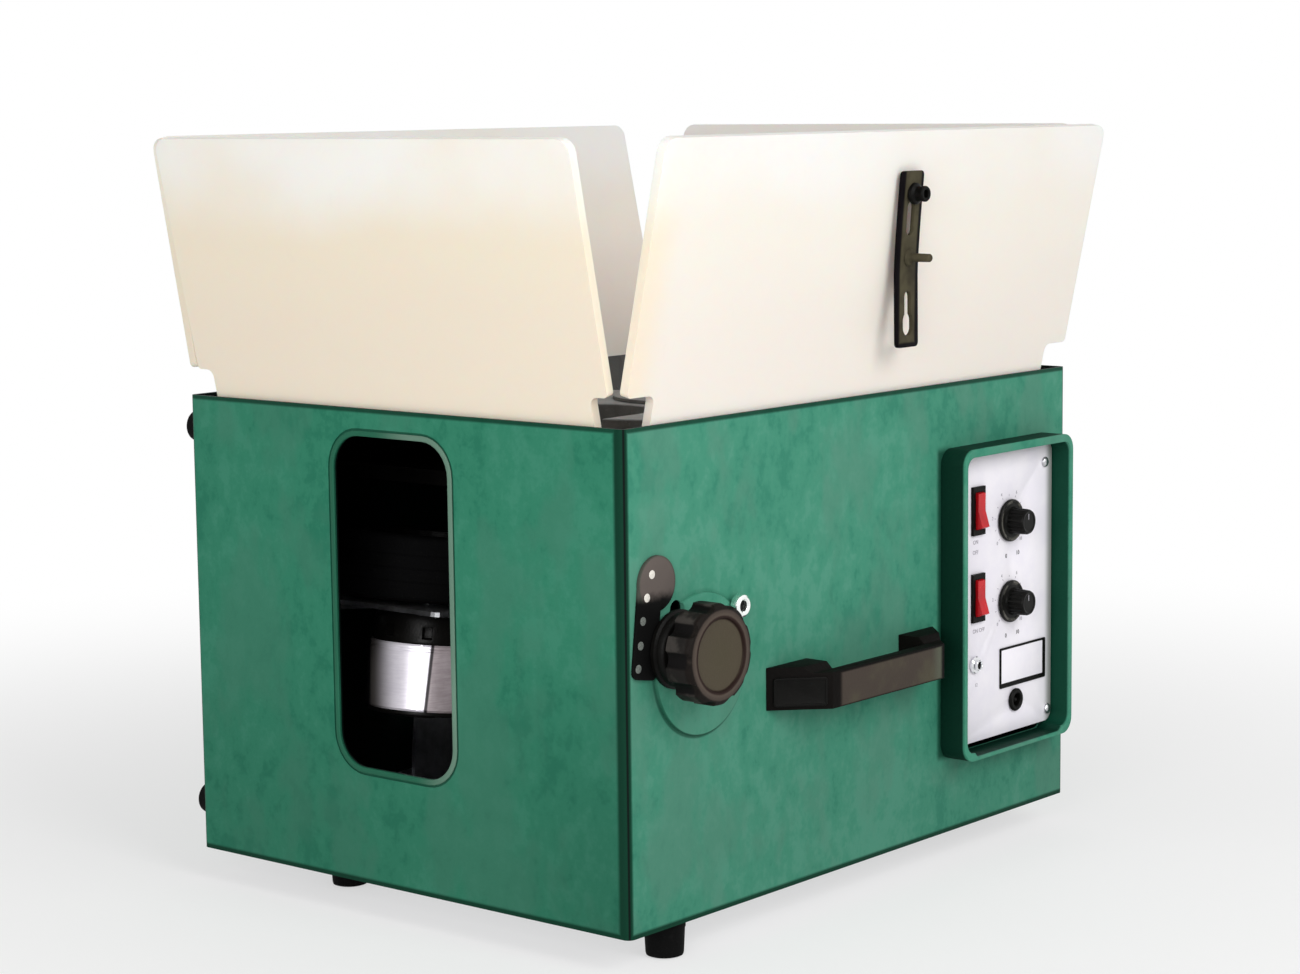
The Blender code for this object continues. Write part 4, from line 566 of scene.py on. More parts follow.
def casing_paint(place):
    """The mottled green with painted shade on the front wall, low down, at the corners and rims, round the
    pad, beside the box, in the exit's groove and inside.
    """
    colour, roughness, normal = mottled_green(place)
    x, y, z = place.axes()
    behind = y + HALF_DEPTH
    front = behind.fade(0.0030, 0.0015)
    right_wall = x.fade(HALF_WIDTH - 0.0010, HALF_WIDTH - 0.0002)
    # Painted shade: the front wall is darker, and the walls darken towards the bottom, most on the front's
    # right.
    toned = front.mix(colour, FRONT_TONE, "MULTIPLY")
    shade = z.fade(0.25, 0.05) * (0.16 + front * x.fade(0.05, 0.18) * 0.16)
    # Painted shade: dark bands down the upright corners, wider at the right ones, and dark lines along the
    # top and bottom rims.
    right_end = x.fade(HALF_WIDTH - 0.0095, HALF_WIDTH - 0.0063)
    left_end = (x * -1).fade(HALF_WIDTH - 0.0040, HALF_WIDTH - 0.0013) * 0.7
    corner = right_end.most(left_end) * abs(y).fade(HALF_DEPTH - 0.0048, HALF_DEPTH - 0.0028)
    top = z.fade(CASING_TOP - 0.0034, CASING_TOP - 0.0016) * 0.9
    low = z.fade(FEET + 0.0042, FEET + 0.0020)
    # Painted shadows on the right wall: a ring round the clamp's pad, strongest low down, and a band along
    # the control box's front side. Painted shade fills the exit's groove. The line after the groove gathers
    # all of these painted shades.
    from_pad = (y - PAD_PLACE[0]).far(z - FEET - PAD_PLACE[1])
    pad_edge = from_pad.fade(PAD_RADIUS - 0.0009, PAD_RADIUS - 0.0001)
    pad_edge *= from_pad.fade(PAD_RADIUS + 0.0027, PAD_RADIUS + 0.0011) * (z.fade(0.200, 0.150) * 0.55 + 0.15)
    beside_box = y.fade(BOX_FRONT - 0.0060, BOX_FRONT - 0.0010) * abs(z - BOX_LEVEL).fade(0.108, 0.102) * 0.85
    beside_box *= y.fade(BOX_FRONT + 0.0150, BOX_FRONT + 0.0100)
    groove = behind.fade(0.00025, 0.00045) * behind.fade(0.0015, 0.0010)
    worn = corner.most(top).most(low).most(groove * 0.6).most(right_wall * pad_edge.most(beside_box))
    # Painted shade: the inside of the walls is near black.
    inside = abs(x).fade(HALF_WIDTH - 0.0006, HALF_WIDTH - 0.0012)
    inside *= abs(y).fade(HALF_DEPTH - 0.0010, HALF_DEPTH - 0.0014)
    green = worn.mix(shade.mix(toned, INNER_GREEN), EDGE_GREEN)
    return inside.mix(green, INNER_GREEN), roughness, normal


def bead_paint(place):
    """The rim round the ball exit: dark green, with a pale painted highlight on its right side and at its top
    right corner, and painted shade deeper in.
    """
    _, roughness, normal = mottled_green(place)
    x, y, z = place.axes()
    # Painted highlight: paler towards the right and at the top right corner.
    rubbed = (x + z.fade(0.285, 0.310) * 0.03).fade(0.012, 0.046)
    colour = rubbed.mix((0.014, 0.110, 0.062), (0.120, 0.215, 0.160))
    # Painted shade: what lies more than 1.2 mm behind the front face is near black.
    return (y + HALF_DEPTH).fade(0.0012, 0.0004).mix(INNER_GREEN, colour), roughness, normal


def box_paint(place):
    """The control box: its green rim, with painted shade on its upright sides, inside and outside, less dark
    towards the rear.
    """
    colour, roughness, normal = mottled_green(place)
    x, y, _ = place.axes()
    rim = x.fade(HALF_WIDTH + BOX_RISE - 0.0027, HALF_WIDTH + BOX_RISE - 0.0009)
    # Painted shade: the upright sides are dark green, less dark towards the rear.
    side = (y.fade(0.200, 0.214) * 0.5 + 0.1).mix((0.002, 0.020, 0.012), (0.004, 0.060, 0.034))
    return rim.mix(side, colour), roughness, normal


casing_green = finish("casing_green", casing_paint, Specular_IOR_Level=0.08)
bead_green = finish("bead_green", bead_paint, Specular_IOR_Level=0.15)
box_green = finish("box_green", box_paint, Specular_IOR_Level=0.08)
print("greens ready")

# %% [markdown]
# ## The hopper's milky sheet
#
# The four hopper panels are cut from natural polyethylene sheet. It is off-white, a little warmer and
# duller low down and nearly white at the rim, with a satin skin and faint scuffs. The front panel is
# painted warmer, and whiter at its rim, as painted light. A small subsurface weight lets light creep
# round its edges, as it does in the real sheet.


# %% Milky sheet
def milky_paint(place):
    """Warm low down and whiter at the rim, with faint scuffs, and the front panel painted warmer and whiter
    as painted light.
    """
    _, y, z = place.axes()
    cloud = place.noise(9, 2, 0.5)
    scuff = place.stretched(1, 1, 0.25).noise(240, 4, 0.7)
    height = z.fade(0.35, 0.50) * 0.85 + (cloud - 0.5) * 0.6
    side = height.ramp((0.0, (0.86, 0.79, 0.72)), (0.5, (0.875, 0.82, 0.74)), (1.0, (0.90, 0.875, 0.85)))
    # Painted light: the front panel's ramp, warmer than the side panels' and whiter at its rim.
    front = height.ramp((0.0, (0.875, 0.765, 0.625)), (0.5, (0.885, 0.785, 0.63)), (1.0, (0.95, 0.92, 0.88)))
    colour = y.fade(-0.205, -0.235).mix(side, front)
    worn = (scuff.fade(0.60, 0.74) * 0.05).mix(colour, (0.66, 0.62, 0.54))
    return worn, 0.40 + scuff * 0.16, scuff.bump(0.00012, 0.25)


milky_sheet = finish(
    "milky_sheet", milky_paint, Subsurface_Weight=0.25, Subsurface_Scale=0.012, Specular_IOR_Level=0.3
)
print("milky sheet ready")

# %% [markdown]
# ## Black and grey mouldings, rubber and metal
#
# Most small pieces share a few finishes: a pebbled black plastic, a browner one on the handle and the
# knob, dull rubber, and a few metals. Each has its own grain and a slight change of tone, so that none
# of them looks like flat paint. Metals differ by their roughness and by the direction of their marks.


# %% Mouldings
def lit(colour, share):
    """A colour made lighter or darker."""
    return tuple(min(1.0, c * share) for c in colour)


def moulded(name, colour, roughness, grain=700, depth=0.0002, dust=0.03, **constants):
    """A moulded plastic or rubber: a pebbled skin, a slight drift of tone and a little dust."""

    def paint(place):
        drift = place.noise(30, 3, 0.6)
        pebble = place.cells(grain)
        powder = place.noise(260, 4, 0.7).fade(0.56, 0.78)
        dark, light = lit(colour, 0.78), lit(colour, 1.25)
        pale = tuple(min(1.0, c + dust) for c in colour)
        tone = powder.mix(drift.ramp((0.35, dark), (0.65, light)), pale)
        return tone, roughness - 0.06 + drift * 0.12, pebble.bump(depth, 0.4)

    return finish(name, paint, **constants)


DULL = {"Specular_IOR_Level": 0.05}
black_plastic = moulded("black_plastic", (0.0036, 0.0034, 0.0030), 0.42, dust=0.003, Specular_IOR_Level=0.08)
foot_rubber = moulded("foot_rubber", (0.0034, 0.0034, 0.0034), 0.75, grain=900, dust=0.004, **DULL)
tyre_rubber = moulded("tyre_rubber", (0.0022, 0.0022, 0.0024), 0.75, grain=800, dust=0.003, **DULL)
feed_grey = moulded("feed_grey", (0.17, 0.17, 0.165), 0.48, grain=600, dust=0.05)
bowl_black = moulded("bowl_black", (0.012, 0.012, 0.011), 0.50, grain=500, dust=0.015)
GLOSSY = {"grain": 900, "depth": 0.00004, "dust": 0.01, "Specular_IOR_Level": 0.3}
red_plastic = moulded("red_plastic", (0.46, 0.005, 0.010), 0.26, **GLOSSY)
battery_plastic = moulded("battery_plastic", (0.030, 0.032, 0.036), 0.46, grain=420, dust=0.02)


# %% Metals and enamel
def metal(name, colour, roughness, stretch=(1, 1, 1), marks=500, contrast=0.12):
    """A metal: its marks are noise stretched along one axis, and change its roughness as well as its tone."""

    def paint(place):
        mark = place.stretched(*stretch).noise(marks, 4, 0.65)
        stain = place.noise(45, 3, 0.6)
        dark, light = lit(colour, 1 - contrast), lit(colour, 1 + contrast)
        tone = mark * 0.6 + stain * 0.4
        return tone.ramp((0.35, dark), (0.65, light)), roughness - 0.06 + mark * 0.14, mark.bump(0.00008, 0.2)

    return finish(name, paint, Metallic=1.0)


zinc = metal("zinc", (0.52, 0.53, 0.55), 0.36, marks=120)
aluminium = metal("aluminium", (0.64, 0.65, 0.67), 0.33, stretch=(1, 0.06, 1))
chrome = metal("chrome", (0.78, 0.79, 0.81), 0.12, contrast=0.04)
bright_chrome = metal("bright_chrome", (0.93, 0.96, 0.94), 0.20, contrast=0.03)
steel = metal("steel", (0.56, 0.56, 0.58), 0.28, stretch=(1, 1, 0.1))


# Where the left can's seam and its shade lie across the camera's view, and the height of its middle
SEAM_PLACE, SHADE_PLACE, CAN_MIDDLE_Z = -0.1441, -0.1710, 0.1313


def can_paint(place):
    """The motors' cans: bright nickel with fine rings from rolling. Across the view, the left can is painted
    with shade: black and then grey at its left, and a duller painted shade beyond its dark slanted seam."""
    x, y, z = place.axes()
    across = x * cos(YAW) + y * sin(YAW)
    ring = place.stretched(0.1, 0.1, 1).noise(900, 3, 0.6)
    stain = place.noise(60, 3, 0.6)
    tone = ring * 0.5 + stain * 0.5
    bright = tone.ramp((0.35, (0.84, 0.80, 0.88)), (0.65, (0.94, 0.90, 0.97)))
    dull = tone.ramp((0.35, (0.34, 0.29, 0.30)), (0.65, (0.46, 0.40, 0.42)))
    seam = across - (z - CAN_MIDDLE_Z) * 0.13 - SEAM_PLACE
    # Painted shade on the left can: black and then grey at its left side across the view, and duller beyond
    # its seam.
    left_can = x.fade(-0.040, -0.045)
    shaded = across.fade(SHADE_PLACE + 0.006, SHADE_PLACE - 0.012) * left_can
    black = across.fade(SHADE_PLACE - 0.0125, SHADE_PLACE - 0.0150) * left_can
    colour = (seam.fade(0.0000, 0.0010) * left_can).mix(bright, dull)
    colour = (abs(seam).fade(0.0016, 0.0006) * left_can).mix(colour, (0.03, 0.025, 0.028))
    colour = black.mix(shaded.mix(colour, (0.10, 0.09, 0.085)), (0.004, 0.004, 0.004))
    return colour, 0.30 + ring * 0.12, ring.bump(0.00005, 0.2)


motor_nickel = finish("motor_nickel", can_paint, Metallic=0.30)


def enamel_paint(place):
    """The control plate: smooth lavender white enamel, with painted shade in greenish grey along its rear
    edge, and faint marks.
    """
    _, y, _ = place.axes()
    smear = place.noise(38, 4, 0.6)
    white = smear.ramp((0.35, (0.87, 0.84, 0.91)), (0.65, (0.92, 0.89, 0.94)))
    # Painted shade: the plate turns a greenish grey along its rear edge.
    edge = y.fade(0.2035, 0.2125)
    colour = (edge * 0.85).mix(white, (0.16, 0.18, 0.15))
    return colour, 0.36 + smear * 0.12, smear.bump(0.00005, 0.2)


white_enamel = finish("white_enamel", enamel_paint, Specular_IOR_Level=0.3)


def board_paint(place):
    """A circuit board: green lacquer over paler copper runs."""
    runs = place.stretched(1, 1, 0.12).cells(260).fade(0.35, 0.30)
    colour = runs.mix((0.012, 0.085, 0.034), (0.030, 0.170, 0.070))
    return colour, 0.34 + runs * 0.1, runs.bump(0.00005, 0.3)


board_green = finish("board_green", board_paint)
print("finishes ready:", len(bpy.data.materials))

# %% Paint the CAD nodes
LOOKS = {
    "green_casing": casing_green,
    "white_hopper": milky_sheet,
    "black_plastic": black_plastic,
    "brown_black_plastic": black_plastic,
    "black_rubber": foot_rubber,
    "dark_tyre": tyre_rubber,
    "grey_plastic": feed_grey,
    "zinc_steel": zinc,
    "dull_steel": steel,
    "aluminium": aluminium,
    "chrome": chrome,
    "white_plate": white_enamel,
    "red_rocker": red_plastic,
    "green_board": board_green,
    "dark_battery": battery_plastic,
}
OWN_LOOKS = {"control_box": box_green, "hopper_floor": bowl_black}
for part in frame["record"]["subparts"]:
    node = frame["nodes"][part["node"]]
    node.data.materials.clear()
    node.data.materials.append(OWN_LOOKS.get(part["node"], LOOKS[part["material_slot"]]))

# %% [markdown]
# ## The casing
#
# The casing is one moulding without a floor or a lid. A block gives its outside: its upright edges are
# bevelled, its two ends are deleted, and Solidify gives the walls their thickness inwards. The ball exit
# is then cut twice, as a shallow rebate and as a through hole a little smaller, and a softened bead lies
# in the rebate round the hole. The clamp's raised pad is joined on before its arc slot is cut, so that one
# cut goes through both.

# %% Casing
CASING_WALL, CASING_CORNER = 0.0027, 0.005
EXIT_MIDDLE, EXIT_WIDTH, EXIT_TALL, EXIT_CORNER = (-0.0035, 0.1815), 0.099, 0.212, 0.0215
BEAD, GROOVE, REBATE = 0.0036, 0.0014, 0.0008
PAD_RISE = 0.0023
SLOT_REACH, SLOT_WIDE, SLOT_ENDS = 0.179, 0.011, (radians(0.5), radians(14))
BOX_MIDDLE, HATCH = (0.1525, 0.153), (0.111, 0.200)


def exit_slab(name, margin, low, high):
    """A slab with the ball exit's outline, larger by a margin all round."""
    size = EXIT_WIDTH + 2 * margin, EXIT_TALL + 2 * margin
    return placed(slab(name, *size, EXIT_CORNER + margin, low, high, EXIT_MIDDLE), on_front())


casing = slab("casing", 2 * HALF_WIDTH, 2 * HALF_DEPTH, CASING_CORNER, FEET, CASING_TOP)
open_faces(casing, lambda face: abs(face.normal.z) > 0.9)
bpy.ops.mesh.delete(type="FACE")
bpy.ops.object.mode_set(mode="OBJECT")
shaped(casing, "SOLIDIFY", thickness=CASING_WALL, offset=-1, use_even_offset=True)
cut(casing, exit_slab("rebate", BEAD + GROOVE, -REBATE, 0.01))
cut(casing, exit_slab("exit", 0, -0.01, 0.01))

pad = turned("pad", [(PAD_RADIUS, -0.0013), (PAD_RADIUS, PAD_RISE - 0.0010),
                     (PAD_RADIUS - 0.0004, PAD_RISE - 0.0003), (PAD_RADIUS - 0.0012, PAD_RISE)], 96)
cut(casing, placed(pad, on_right(*PAD_PLACE)), "UNION")
arc = rod("arc", SLOT_REACH + SLOT_WIDE / 2, -0.01, 0.01, 144, ends="NOTHING")
shaped(arc, "SOLIDIFY", thickness=SLOT_WIDE, offset=-1)
low_end, high_end = SLOT_ENDS
sliced(arc, (0, 0, 0), (-sin(low_end), -cos(low_end), 0))
sliced(arc, (0, 0, 0), (sin(high_end), cos(high_end), 0))
cut(casing, placed(arc, on_right(PIVOT[1], PIVOT[2] - FEET)))
for end in SLOT_ENDS:
    hole = rod("slot_end", SLOT_WIDE / 2, -0.01, 0.01, 24, (-SLOT_REACH * cos(end), SLOT_REACH * sin(end)))
    cut(casing, placed(hole, on_right(PIVOT[1], PIVOT[2] - FEET)))
cut(casing, placed(slab("hatch", *HATCH, 0.006, -0.01, 0.01, BOX_MIDDLE), on_right(0, 0)))
done(casing, casing_green, "machine", "green_casing", "casing_shell")

bead = exit_slab("exit_bead", BEAD, -REBATE, 0.0006)
cut(bead, exit_slab("exit", 0, -0.01, 0.01))
softened(bead, 0.0012, 3, 40)
done(bead, bead_green, "machine", "green_casing", "casing_shell")

# %% [markdown]
# ## The elevation knob
#
# The knob that clamps the throwing head is a lobed black moulding on a narrower stem. Its face is smaller
# than its lobes and dished. Painted light makes its face an olive grey and puts highlights on its lobes'
# crests, painted shade darkens the ring where the face dips, and its rim is a paler brownish grey, part
# wear and part painted highlight. A Boolean could carve it from a disc in one go, but a bevel after it
# needs clean edges. So the edge is bevelled and the face and the stem are inset and extruded first, ten
# upright rods then cut the finger gaps, and a fine bevel comes last, which rounds the lobes as the mould
# does.

# %% Elevation knob
KNOB_RADIUS, KNOB_HEAD, KNOB_SLOPE, KNOB_STEM = 0.0305, 0.0180, 0.0038, 0.0165
KNOB_DISH, KNOB_SUNK = 0.0222, 0.0014
LOBES, GAP_REACH, GAP_RADIUS = 10, 0.0345, 0.0070
RAMP_SCALE = 32  # the far end of the face's ramp lies 1/32 m from the knob's axis

knob_low, knob_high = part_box("elevation_knob")
knob_middle = (knob_low + knob_high) / 2


def knob_paint(place):
    """Near black lobes with painted highlights on their crests, a rim of wear and painted highlight, and a
    face of painted light.
    """
    x, y, z = place.axes()
    drift = place.noise(60, 3, 0.6)
    pebble = place.cells(520)
    out = (y - knob_middle.y).far(z - knob_middle.z) + (drift - 0.5) * 0.0012
    # Painted light on the face: olive grey in the middle, a ring of painted shade where it dips, a paler rim
    # of wear and painted highlight, and dark at its outer edge.
    face = (out * RAMP_SCALE).ramp(
        (0.0, (0.066, 0.056, 0.036)), (0.655, (0.068, 0.056, 0.038)), (0.70, (0.016, 0.008, 0.006)),
        (0.735, (0.022, 0.012, 0.010)), (0.775, (0.078, 0.060, 0.048)), (0.84, (0.060, 0.046, 0.038)),
        (0.89, (0.008, 0.006, 0.005)),
    )
    # Painted highlights on the lobes' crests.
    crest = out.fade(0.0290, 0.0302) * (drift.fade(0.40, 0.60) * 0.8 + 0.2)
    flank = crest.mix((0.003, 0.0025, 0.0025), (0.045, 0.040, 0.036))
    colour = x.fade(knob_high.x - 0.0048, knob_high.x - 0.0030).mix(flank, face)
    return colour, 0.50 + drift * 0.1, pebble.bump(0.0002, 0.4)


knob_plastic = finish("knob_plastic", knob_paint, Specular_IOR_Level=0.07)
stem_length = knob_high.x - knob_low.x - KNOB_HEAD
knob = rod("clamp_knob", KNOB_RADIUS, stem_length, stem_length + KNOB_HEAD, segments=120)
open_edges(knob, lambda edge: min(v.co.z for v in edge.verts) > stem_length + KNOB_HEAD - 0.0001)
bpy.ops.mesh.bevel(offset=KNOB_SLOPE, segments=3, affect="EDGES")
open_faces(knob, lambda face: face.normal.z > 0.99)
bpy.ops.mesh.inset(thickness=KNOB_RADIUS - KNOB_SLOPE - KNOB_DISH, use_even_offset=False)
push(-KNOB_SUNK)
bpy.ops.transform.resize(value=(0.97, 0.97, 1), center_override=(0, 0, 0))
open_faces(knob, lambda face: face.normal.z < -0.9)
bpy.ops.mesh.inset(thickness=KNOB_RADIUS - KNOB_STEM, use_even_offset=False)
push(-stem_length)
face_out()

ends = stem_length - 0.001, stem_length + KNOB_HEAD + 0.001
gaps = [rod("gap", GAP_RADIUS, *ends, 24, at) for at in around(LOBES, GAP_REACH)]
cut(knob, joined("gaps", gaps))
softened(knob, 0.0010, 3, 30)
done(knob, knob_plastic, "clamp_knob", "black_plastic", "elevation_knob", at=beside("elevation_knob"))

washer_low, washer_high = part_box("elevation_washer")
washer = turned("clamp_washer", [
    (0.0225, 0.0), (0.0240, 0.0008), (0.0240, 0.0030), (0.0225, 0.0042), (0.0225, 0.0075),
    (0.0215, 0.0090), (0.0205, washer_high.x - washer_low.x),
], 72)
cut(washer, rod("bore", 0.0048, -0.002, 0.02, 32))
washer_place = beside("elevation_washer")
done(washer, black_plastic, "throwing_head", "black_plastic", "elevation_washer", at=washer_place)

# %% [markdown]
# ## The scale plate and its dots
#
# Beside the knob a black plate shows the head's tilt by five white dots on an arc about the pivot. Its
# round top lobe is painted a brownish grey as painted light, with painted shade at its edge. The plate's
# blade is a block that three slanted cuts trim, joined to a disc. Thin discs make the dots, as they stay
# crisp at any distance, where a painted pattern would need a fine texture. The lower dots are painted
# grey as the knob's shadow.

# %% Scale plate
SCALE_LOBE, LOBE_RADIUS = (-0.2133, 0.2116), 0.0167
BLADE_FRONT, BLADE_REAR, BLADE_LOW = -0.2390, -0.2080, 0.1530
PLATE_RISE = rise("elevation_scale")


def scale_paint(place):
    """The scale plate: black below, with its top lobe painted brownish grey as painted light and a dark green
    painted shade at its edge.
    """
    _, y, z = place.axes()
    drift = place.noise(160, 3, 0.6)
    # Painted light: the top lobe turns brownish grey, with painted shade in dark green at its edge.
    faded = (z + (drift - 0.5) * 0.006).fade(0.222, 0.230)
    edge = (y - SCALE_LOBE[0]).far(z - SCALE_LOBE[1] - FEET).fade(0.0152, 0.0168) * 0.6
    brown = edge.mix((0.120, 0.100, 0.090), (0.035, 0.055, 0.040))
    colour = faded.mix((0.004, 0.004, 0.004), brown)
    return colour, 0.50 + drift * 0.15, drift.bump(0.0001, 0.3)


blade = block("scale_plate", (BLADE_FRONT, BLADE_LOW, CLEAR), (BLADE_REAR, SCALE_LOBE[1], PLATE_RISE))
sliced(blade, (-0.2298, SCALE_LOBE[1], 0), (-1, 0.122, 0))
sliced(blade, (-0.2100, 0.2017, 0), (1, -0.110, 0))
sliced(blade, (-0.2371, 0.1575, 0), (-0.18, -1, 0))
open_edges(blade, lambda edge: upright(edge) and edge.verts[0].co.y < 0.160)
bpy.ops.mesh.bevel(offset=0.0045, segments=5, affect="EDGES")
face_out()
cut(blade, rod("lobe", LOBE_RADIUS, CLEAR, PLATE_RISE, 64, SCALE_LOBE), "UNION")
softened(blade, 0.0004, 2, 50)
scale_black = finish("scale_plate", scale_paint, **DULL)
done(blade, scale_black, "machine", "black_plastic", "elevation_scale", at=on_right(0, 0))

# %% Scale dots
DOTS = ((-0.2182, 0.2176), (-0.2230, 0.2043), (-0.2269, 0.1909), (-0.2293, 0.1766), (-0.2316, 0.1631))


def dot_paint(place):
    """White dots, the lower ones painted grey as the knob's shadow."""
    _, _, z = place.axes()
    wear = place.noise(900, 3, 0.6)
    white = wear.ramp((0.3, (0.70, 0.67, 0.60)), (0.7, (0.84, 0.80, 0.74)))
    grey = wear.ramp((0.3, (0.10, 0.11, 0.10)), (0.7, (0.20, 0.22, 0.20)))
    # Painted shadow: the dots below the knob's shadow line are grey.
    return (z - FEET).fade(0.199, 0.193).mix(white, grey), 0.45 + wear * 0.2


dots = []
for y, z in DOTS:
    dot = turned("dot", [(0.0026, 0), (0.0026, 0.00012), (0.0022, 0.00025)], 24)
    dots.append(placed(dot, on_right(y, z, PLATE_RISE)))
done(joined("scale_dots", dots), finish("dot_paint", dot_paint, **DULL), "machine", "white_plate")


# %% Inks
def ink(name, dark, light):
    """A printed colour with a slight wear in it."""

    def paint(place):
        wear = place.noise(800, 3, 0.6)
        return wear.ramp((0.3, dark), (0.7, light)), 0.4 + wear * 0.2

    return finish(name, paint, **DULL)


grey_ink = ink("grey_ink", (0.30, 0.29, 0.32), (0.50, 0.48, 0.53))
black_ink = ink("black_ink", (0.004, 0.004, 0.004), (0.010, 0.010, 0.011))

# %% [markdown]
# ## The chrome socket above the knob
#
# A small chrome bush stands on the wall beside the clamp's pad. It is a turned piece, so it is drawn
# upward from a disc: each step extrudes the top face and scales it to the next radius. Going back down
# inside makes the bore.

# %% Chrome socket
SOCKET_PLACE = (-0.1386, 0.1883)
tip = rise("latch_stud")
bush = turned("chrome_socket", [
    (0.0032, 0.0003), (0.0032, 0.0030), (0.0064, 0.0030), (0.0073, 0.0038), (0.0073, tip - 0.0022),
    (0.0068, tip - 0.0008), (0.0056, tip), (0.0044, tip - 0.0001), (0.0036, tip - 0.0010),
    (0.0033, tip - 0.0040), (0.0004, tip - 0.0045),
])
done(bush, bright_chrome, "machine", "chrome", "latch_stud", at=on_right(*SOCKET_PLACE))
bore = turned("socket_bore", [
    (0.0004, tip - 0.0040), (0.0032, tip - 0.0041), (0.0030, tip - 0.0036), (0.0004, tip - 0.0033),
], 40)
done(bore, black_ink, "machine", "black_plastic", at=on_right(*SOCKET_PLACE))

# %% [markdown]
# ## The carry handle
#
# The handle is a C seen from above: a flat grip between two solid wedges that are screwed to the wall.
# A block is trimmed by two slanted cuts and hollowed by a second block. The wedges stand taller than the
# grip, so a third block with a slanted side takes the grip's top down. Its paint is nearly black on the
# wedges and on top, and the grip's face is painted a brownish grey as painted light.

# %% Handle
HANDLE_LOW, HANDLE_HIGH, GRIP_HIGH = FEET + 0.117, FEET + 0.1440, FEET + 0.140
HANDLE_FRONT, HANDLE_REAR, HANDLE_OUT, GRIP_IN = -0.107, 0.0755, 0.2175, 0.2085
HOLLOW_FRONT, HOLLOW_REAR = -0.065, 0.036
FRONT_SLANT, REAR_SLANT, TOP_SLANT = (32, -30, 0), (35, 30, 0), (-65, 0, -50)


def handle_paint(place):
    """Near black wedges, top, back and underside, and a grip face painted brownish grey as painted light."""
    x, y, z = place.axes()
    drift = place.noise(30, 3, 0.6)
    # Painted light: the grip's face is a brownish grey, paler towards its rear end.
    brown = (drift + y * 1.5 - 0.06).ramp((0.30, (0.058, 0.046, 0.038)), (0.62, (0.078, 0.070, 0.048)))
    end = y.fade(0.030, 0.041).mix(brown, (0.092, 0.098, 0.072))
    front_leg = y.fade(HOLLOW_FRONT - 0.0005, HOLLOW_FRONT - 0.0050)
    rear_leg = y.fade(HOLLOW_REAR + 0.0045, HOLLOW_REAR + 0.0080)
    behind = x.fade(HANDLE_OUT - 0.0050, HANDLE_OUT - 0.0075)
    top = z.fade(GRIP_HIGH - 0.0022, GRIP_HIGH - 0.0008)
    under = z.fade(HANDLE_LOW + 0.0015, HANDLE_LOW)
    colour = front_leg.most(rear_leg).most(behind).most(top).most(under).mix(end, (0.004, 0.0032, 0.0028))
    pebble = place.cells(460)
    return colour, 0.55 + drift * 0.1, pebble.bump(0.0003, 0.4)


outer_corner = (HANDLE_OUT, HANDLE_REAR, HANDLE_HIGH)
handle = block("handle_body", (HALF_WIDTH + CLEAR, HANDLE_FRONT, HANDLE_LOW), outer_corner)
sliced(handle, (HALF_WIDTH, HANDLE_FRONT, 0), FRONT_SLANT)
sliced(handle, (HALF_WIDTH, HANDLE_REAR, 0), REAR_SLANT)
cut(handle, block("hollow", (0.180, HOLLOW_FRONT, 0.10), (GRIP_IN, HOLLOW_REAR, 0.20)))
top = block("top", (0.195, -0.12, GRIP_HIGH), (0.230, 0.09, 0.180))
cut(handle, sliced(top, (0.2040, 0, HANDLE_HIGH), TOP_SLANT))
softened(handle, 0.0016, 3, 25)
done(handle, finish("handle_plastic", handle_paint, **DULL), "machine", "brown_black_plastic", "carry_handle")

# %% [markdown]
# ## The handle's caps
#
# Each wedge of the handle has a cap over its screws: a plate with a raised border and a sunken middle.
# Inset and extrude make the border, and a bevel rounds it. The wedge's face runs at a slant from the wall
# to the grip, so the cap's place is built from the face's two ends.

# %% Handle caps
LEG_RISE = 0.030
LEG_MIDDLE_Z = (HANDLE_LOW + GRIP_HIGH) / 2
CAP_LENGTH, CAP_WIDTH, CAP_SHEET = 0.034, 0.018, 0.002


def leg_place(foot_y, grip_y, up):
    """The middle of a leg's outer face. Z points out of it and X up the leg."""
    foot = Vector((HALF_WIDTH, foot_y, LEG_MIDDLE_Z))
    slope = Vector((HALF_WIDTH + LEG_RISE, grip_y, LEG_MIDDLE_Z)) - foot
    x_axis, y_axis = slope.normalized(), Vector(up)
    turn = Matrix((x_axis, y_axis, x_axis.cross(y_axis))).transposed().to_4x4()
    return Matrix.Translation(foot + slope / 2) @ turn


LEGS = {"front": (HANDLE_FRONT, -0.075, (0, 0, 1)), "rear": (HANDLE_REAR, 0.0405, (0, 0, -1))}
for end, leg in LEGS.items():
    cap = slab(f"cap_{end}", CAP_LENGTH, CAP_WIDTH, 0.002, CLEAR, CLEAR + CAP_SHEET, segments=4)
    sunk(cap, 0.0014, 0.0007)
    softened(cap, 0.0003, 2, 40)
    done(cap, black_plastic, "machine", "black_plastic", f"handle_cap_{end}", at=leg_place(*leg))

# %% [markdown]
# ## Throwing motors
#
# The left motor shows through the ball exit: a bright rolled can between two black end bells. The can is
# turned, and as the real one is bent from strip, a thin upright block cuts a seam at the side that faces
# the exit. The bells and the shaft are turned too, and eight blocks cut the upper bell's vents.

# %% Motors
MOTOR_X, MOTOR_Y = 0.097, -0.092
CAN_TOP, CAN_LOW = -0.0315, -0.0765
SEAM_ANGLE, VENTS = radians(-50), 8

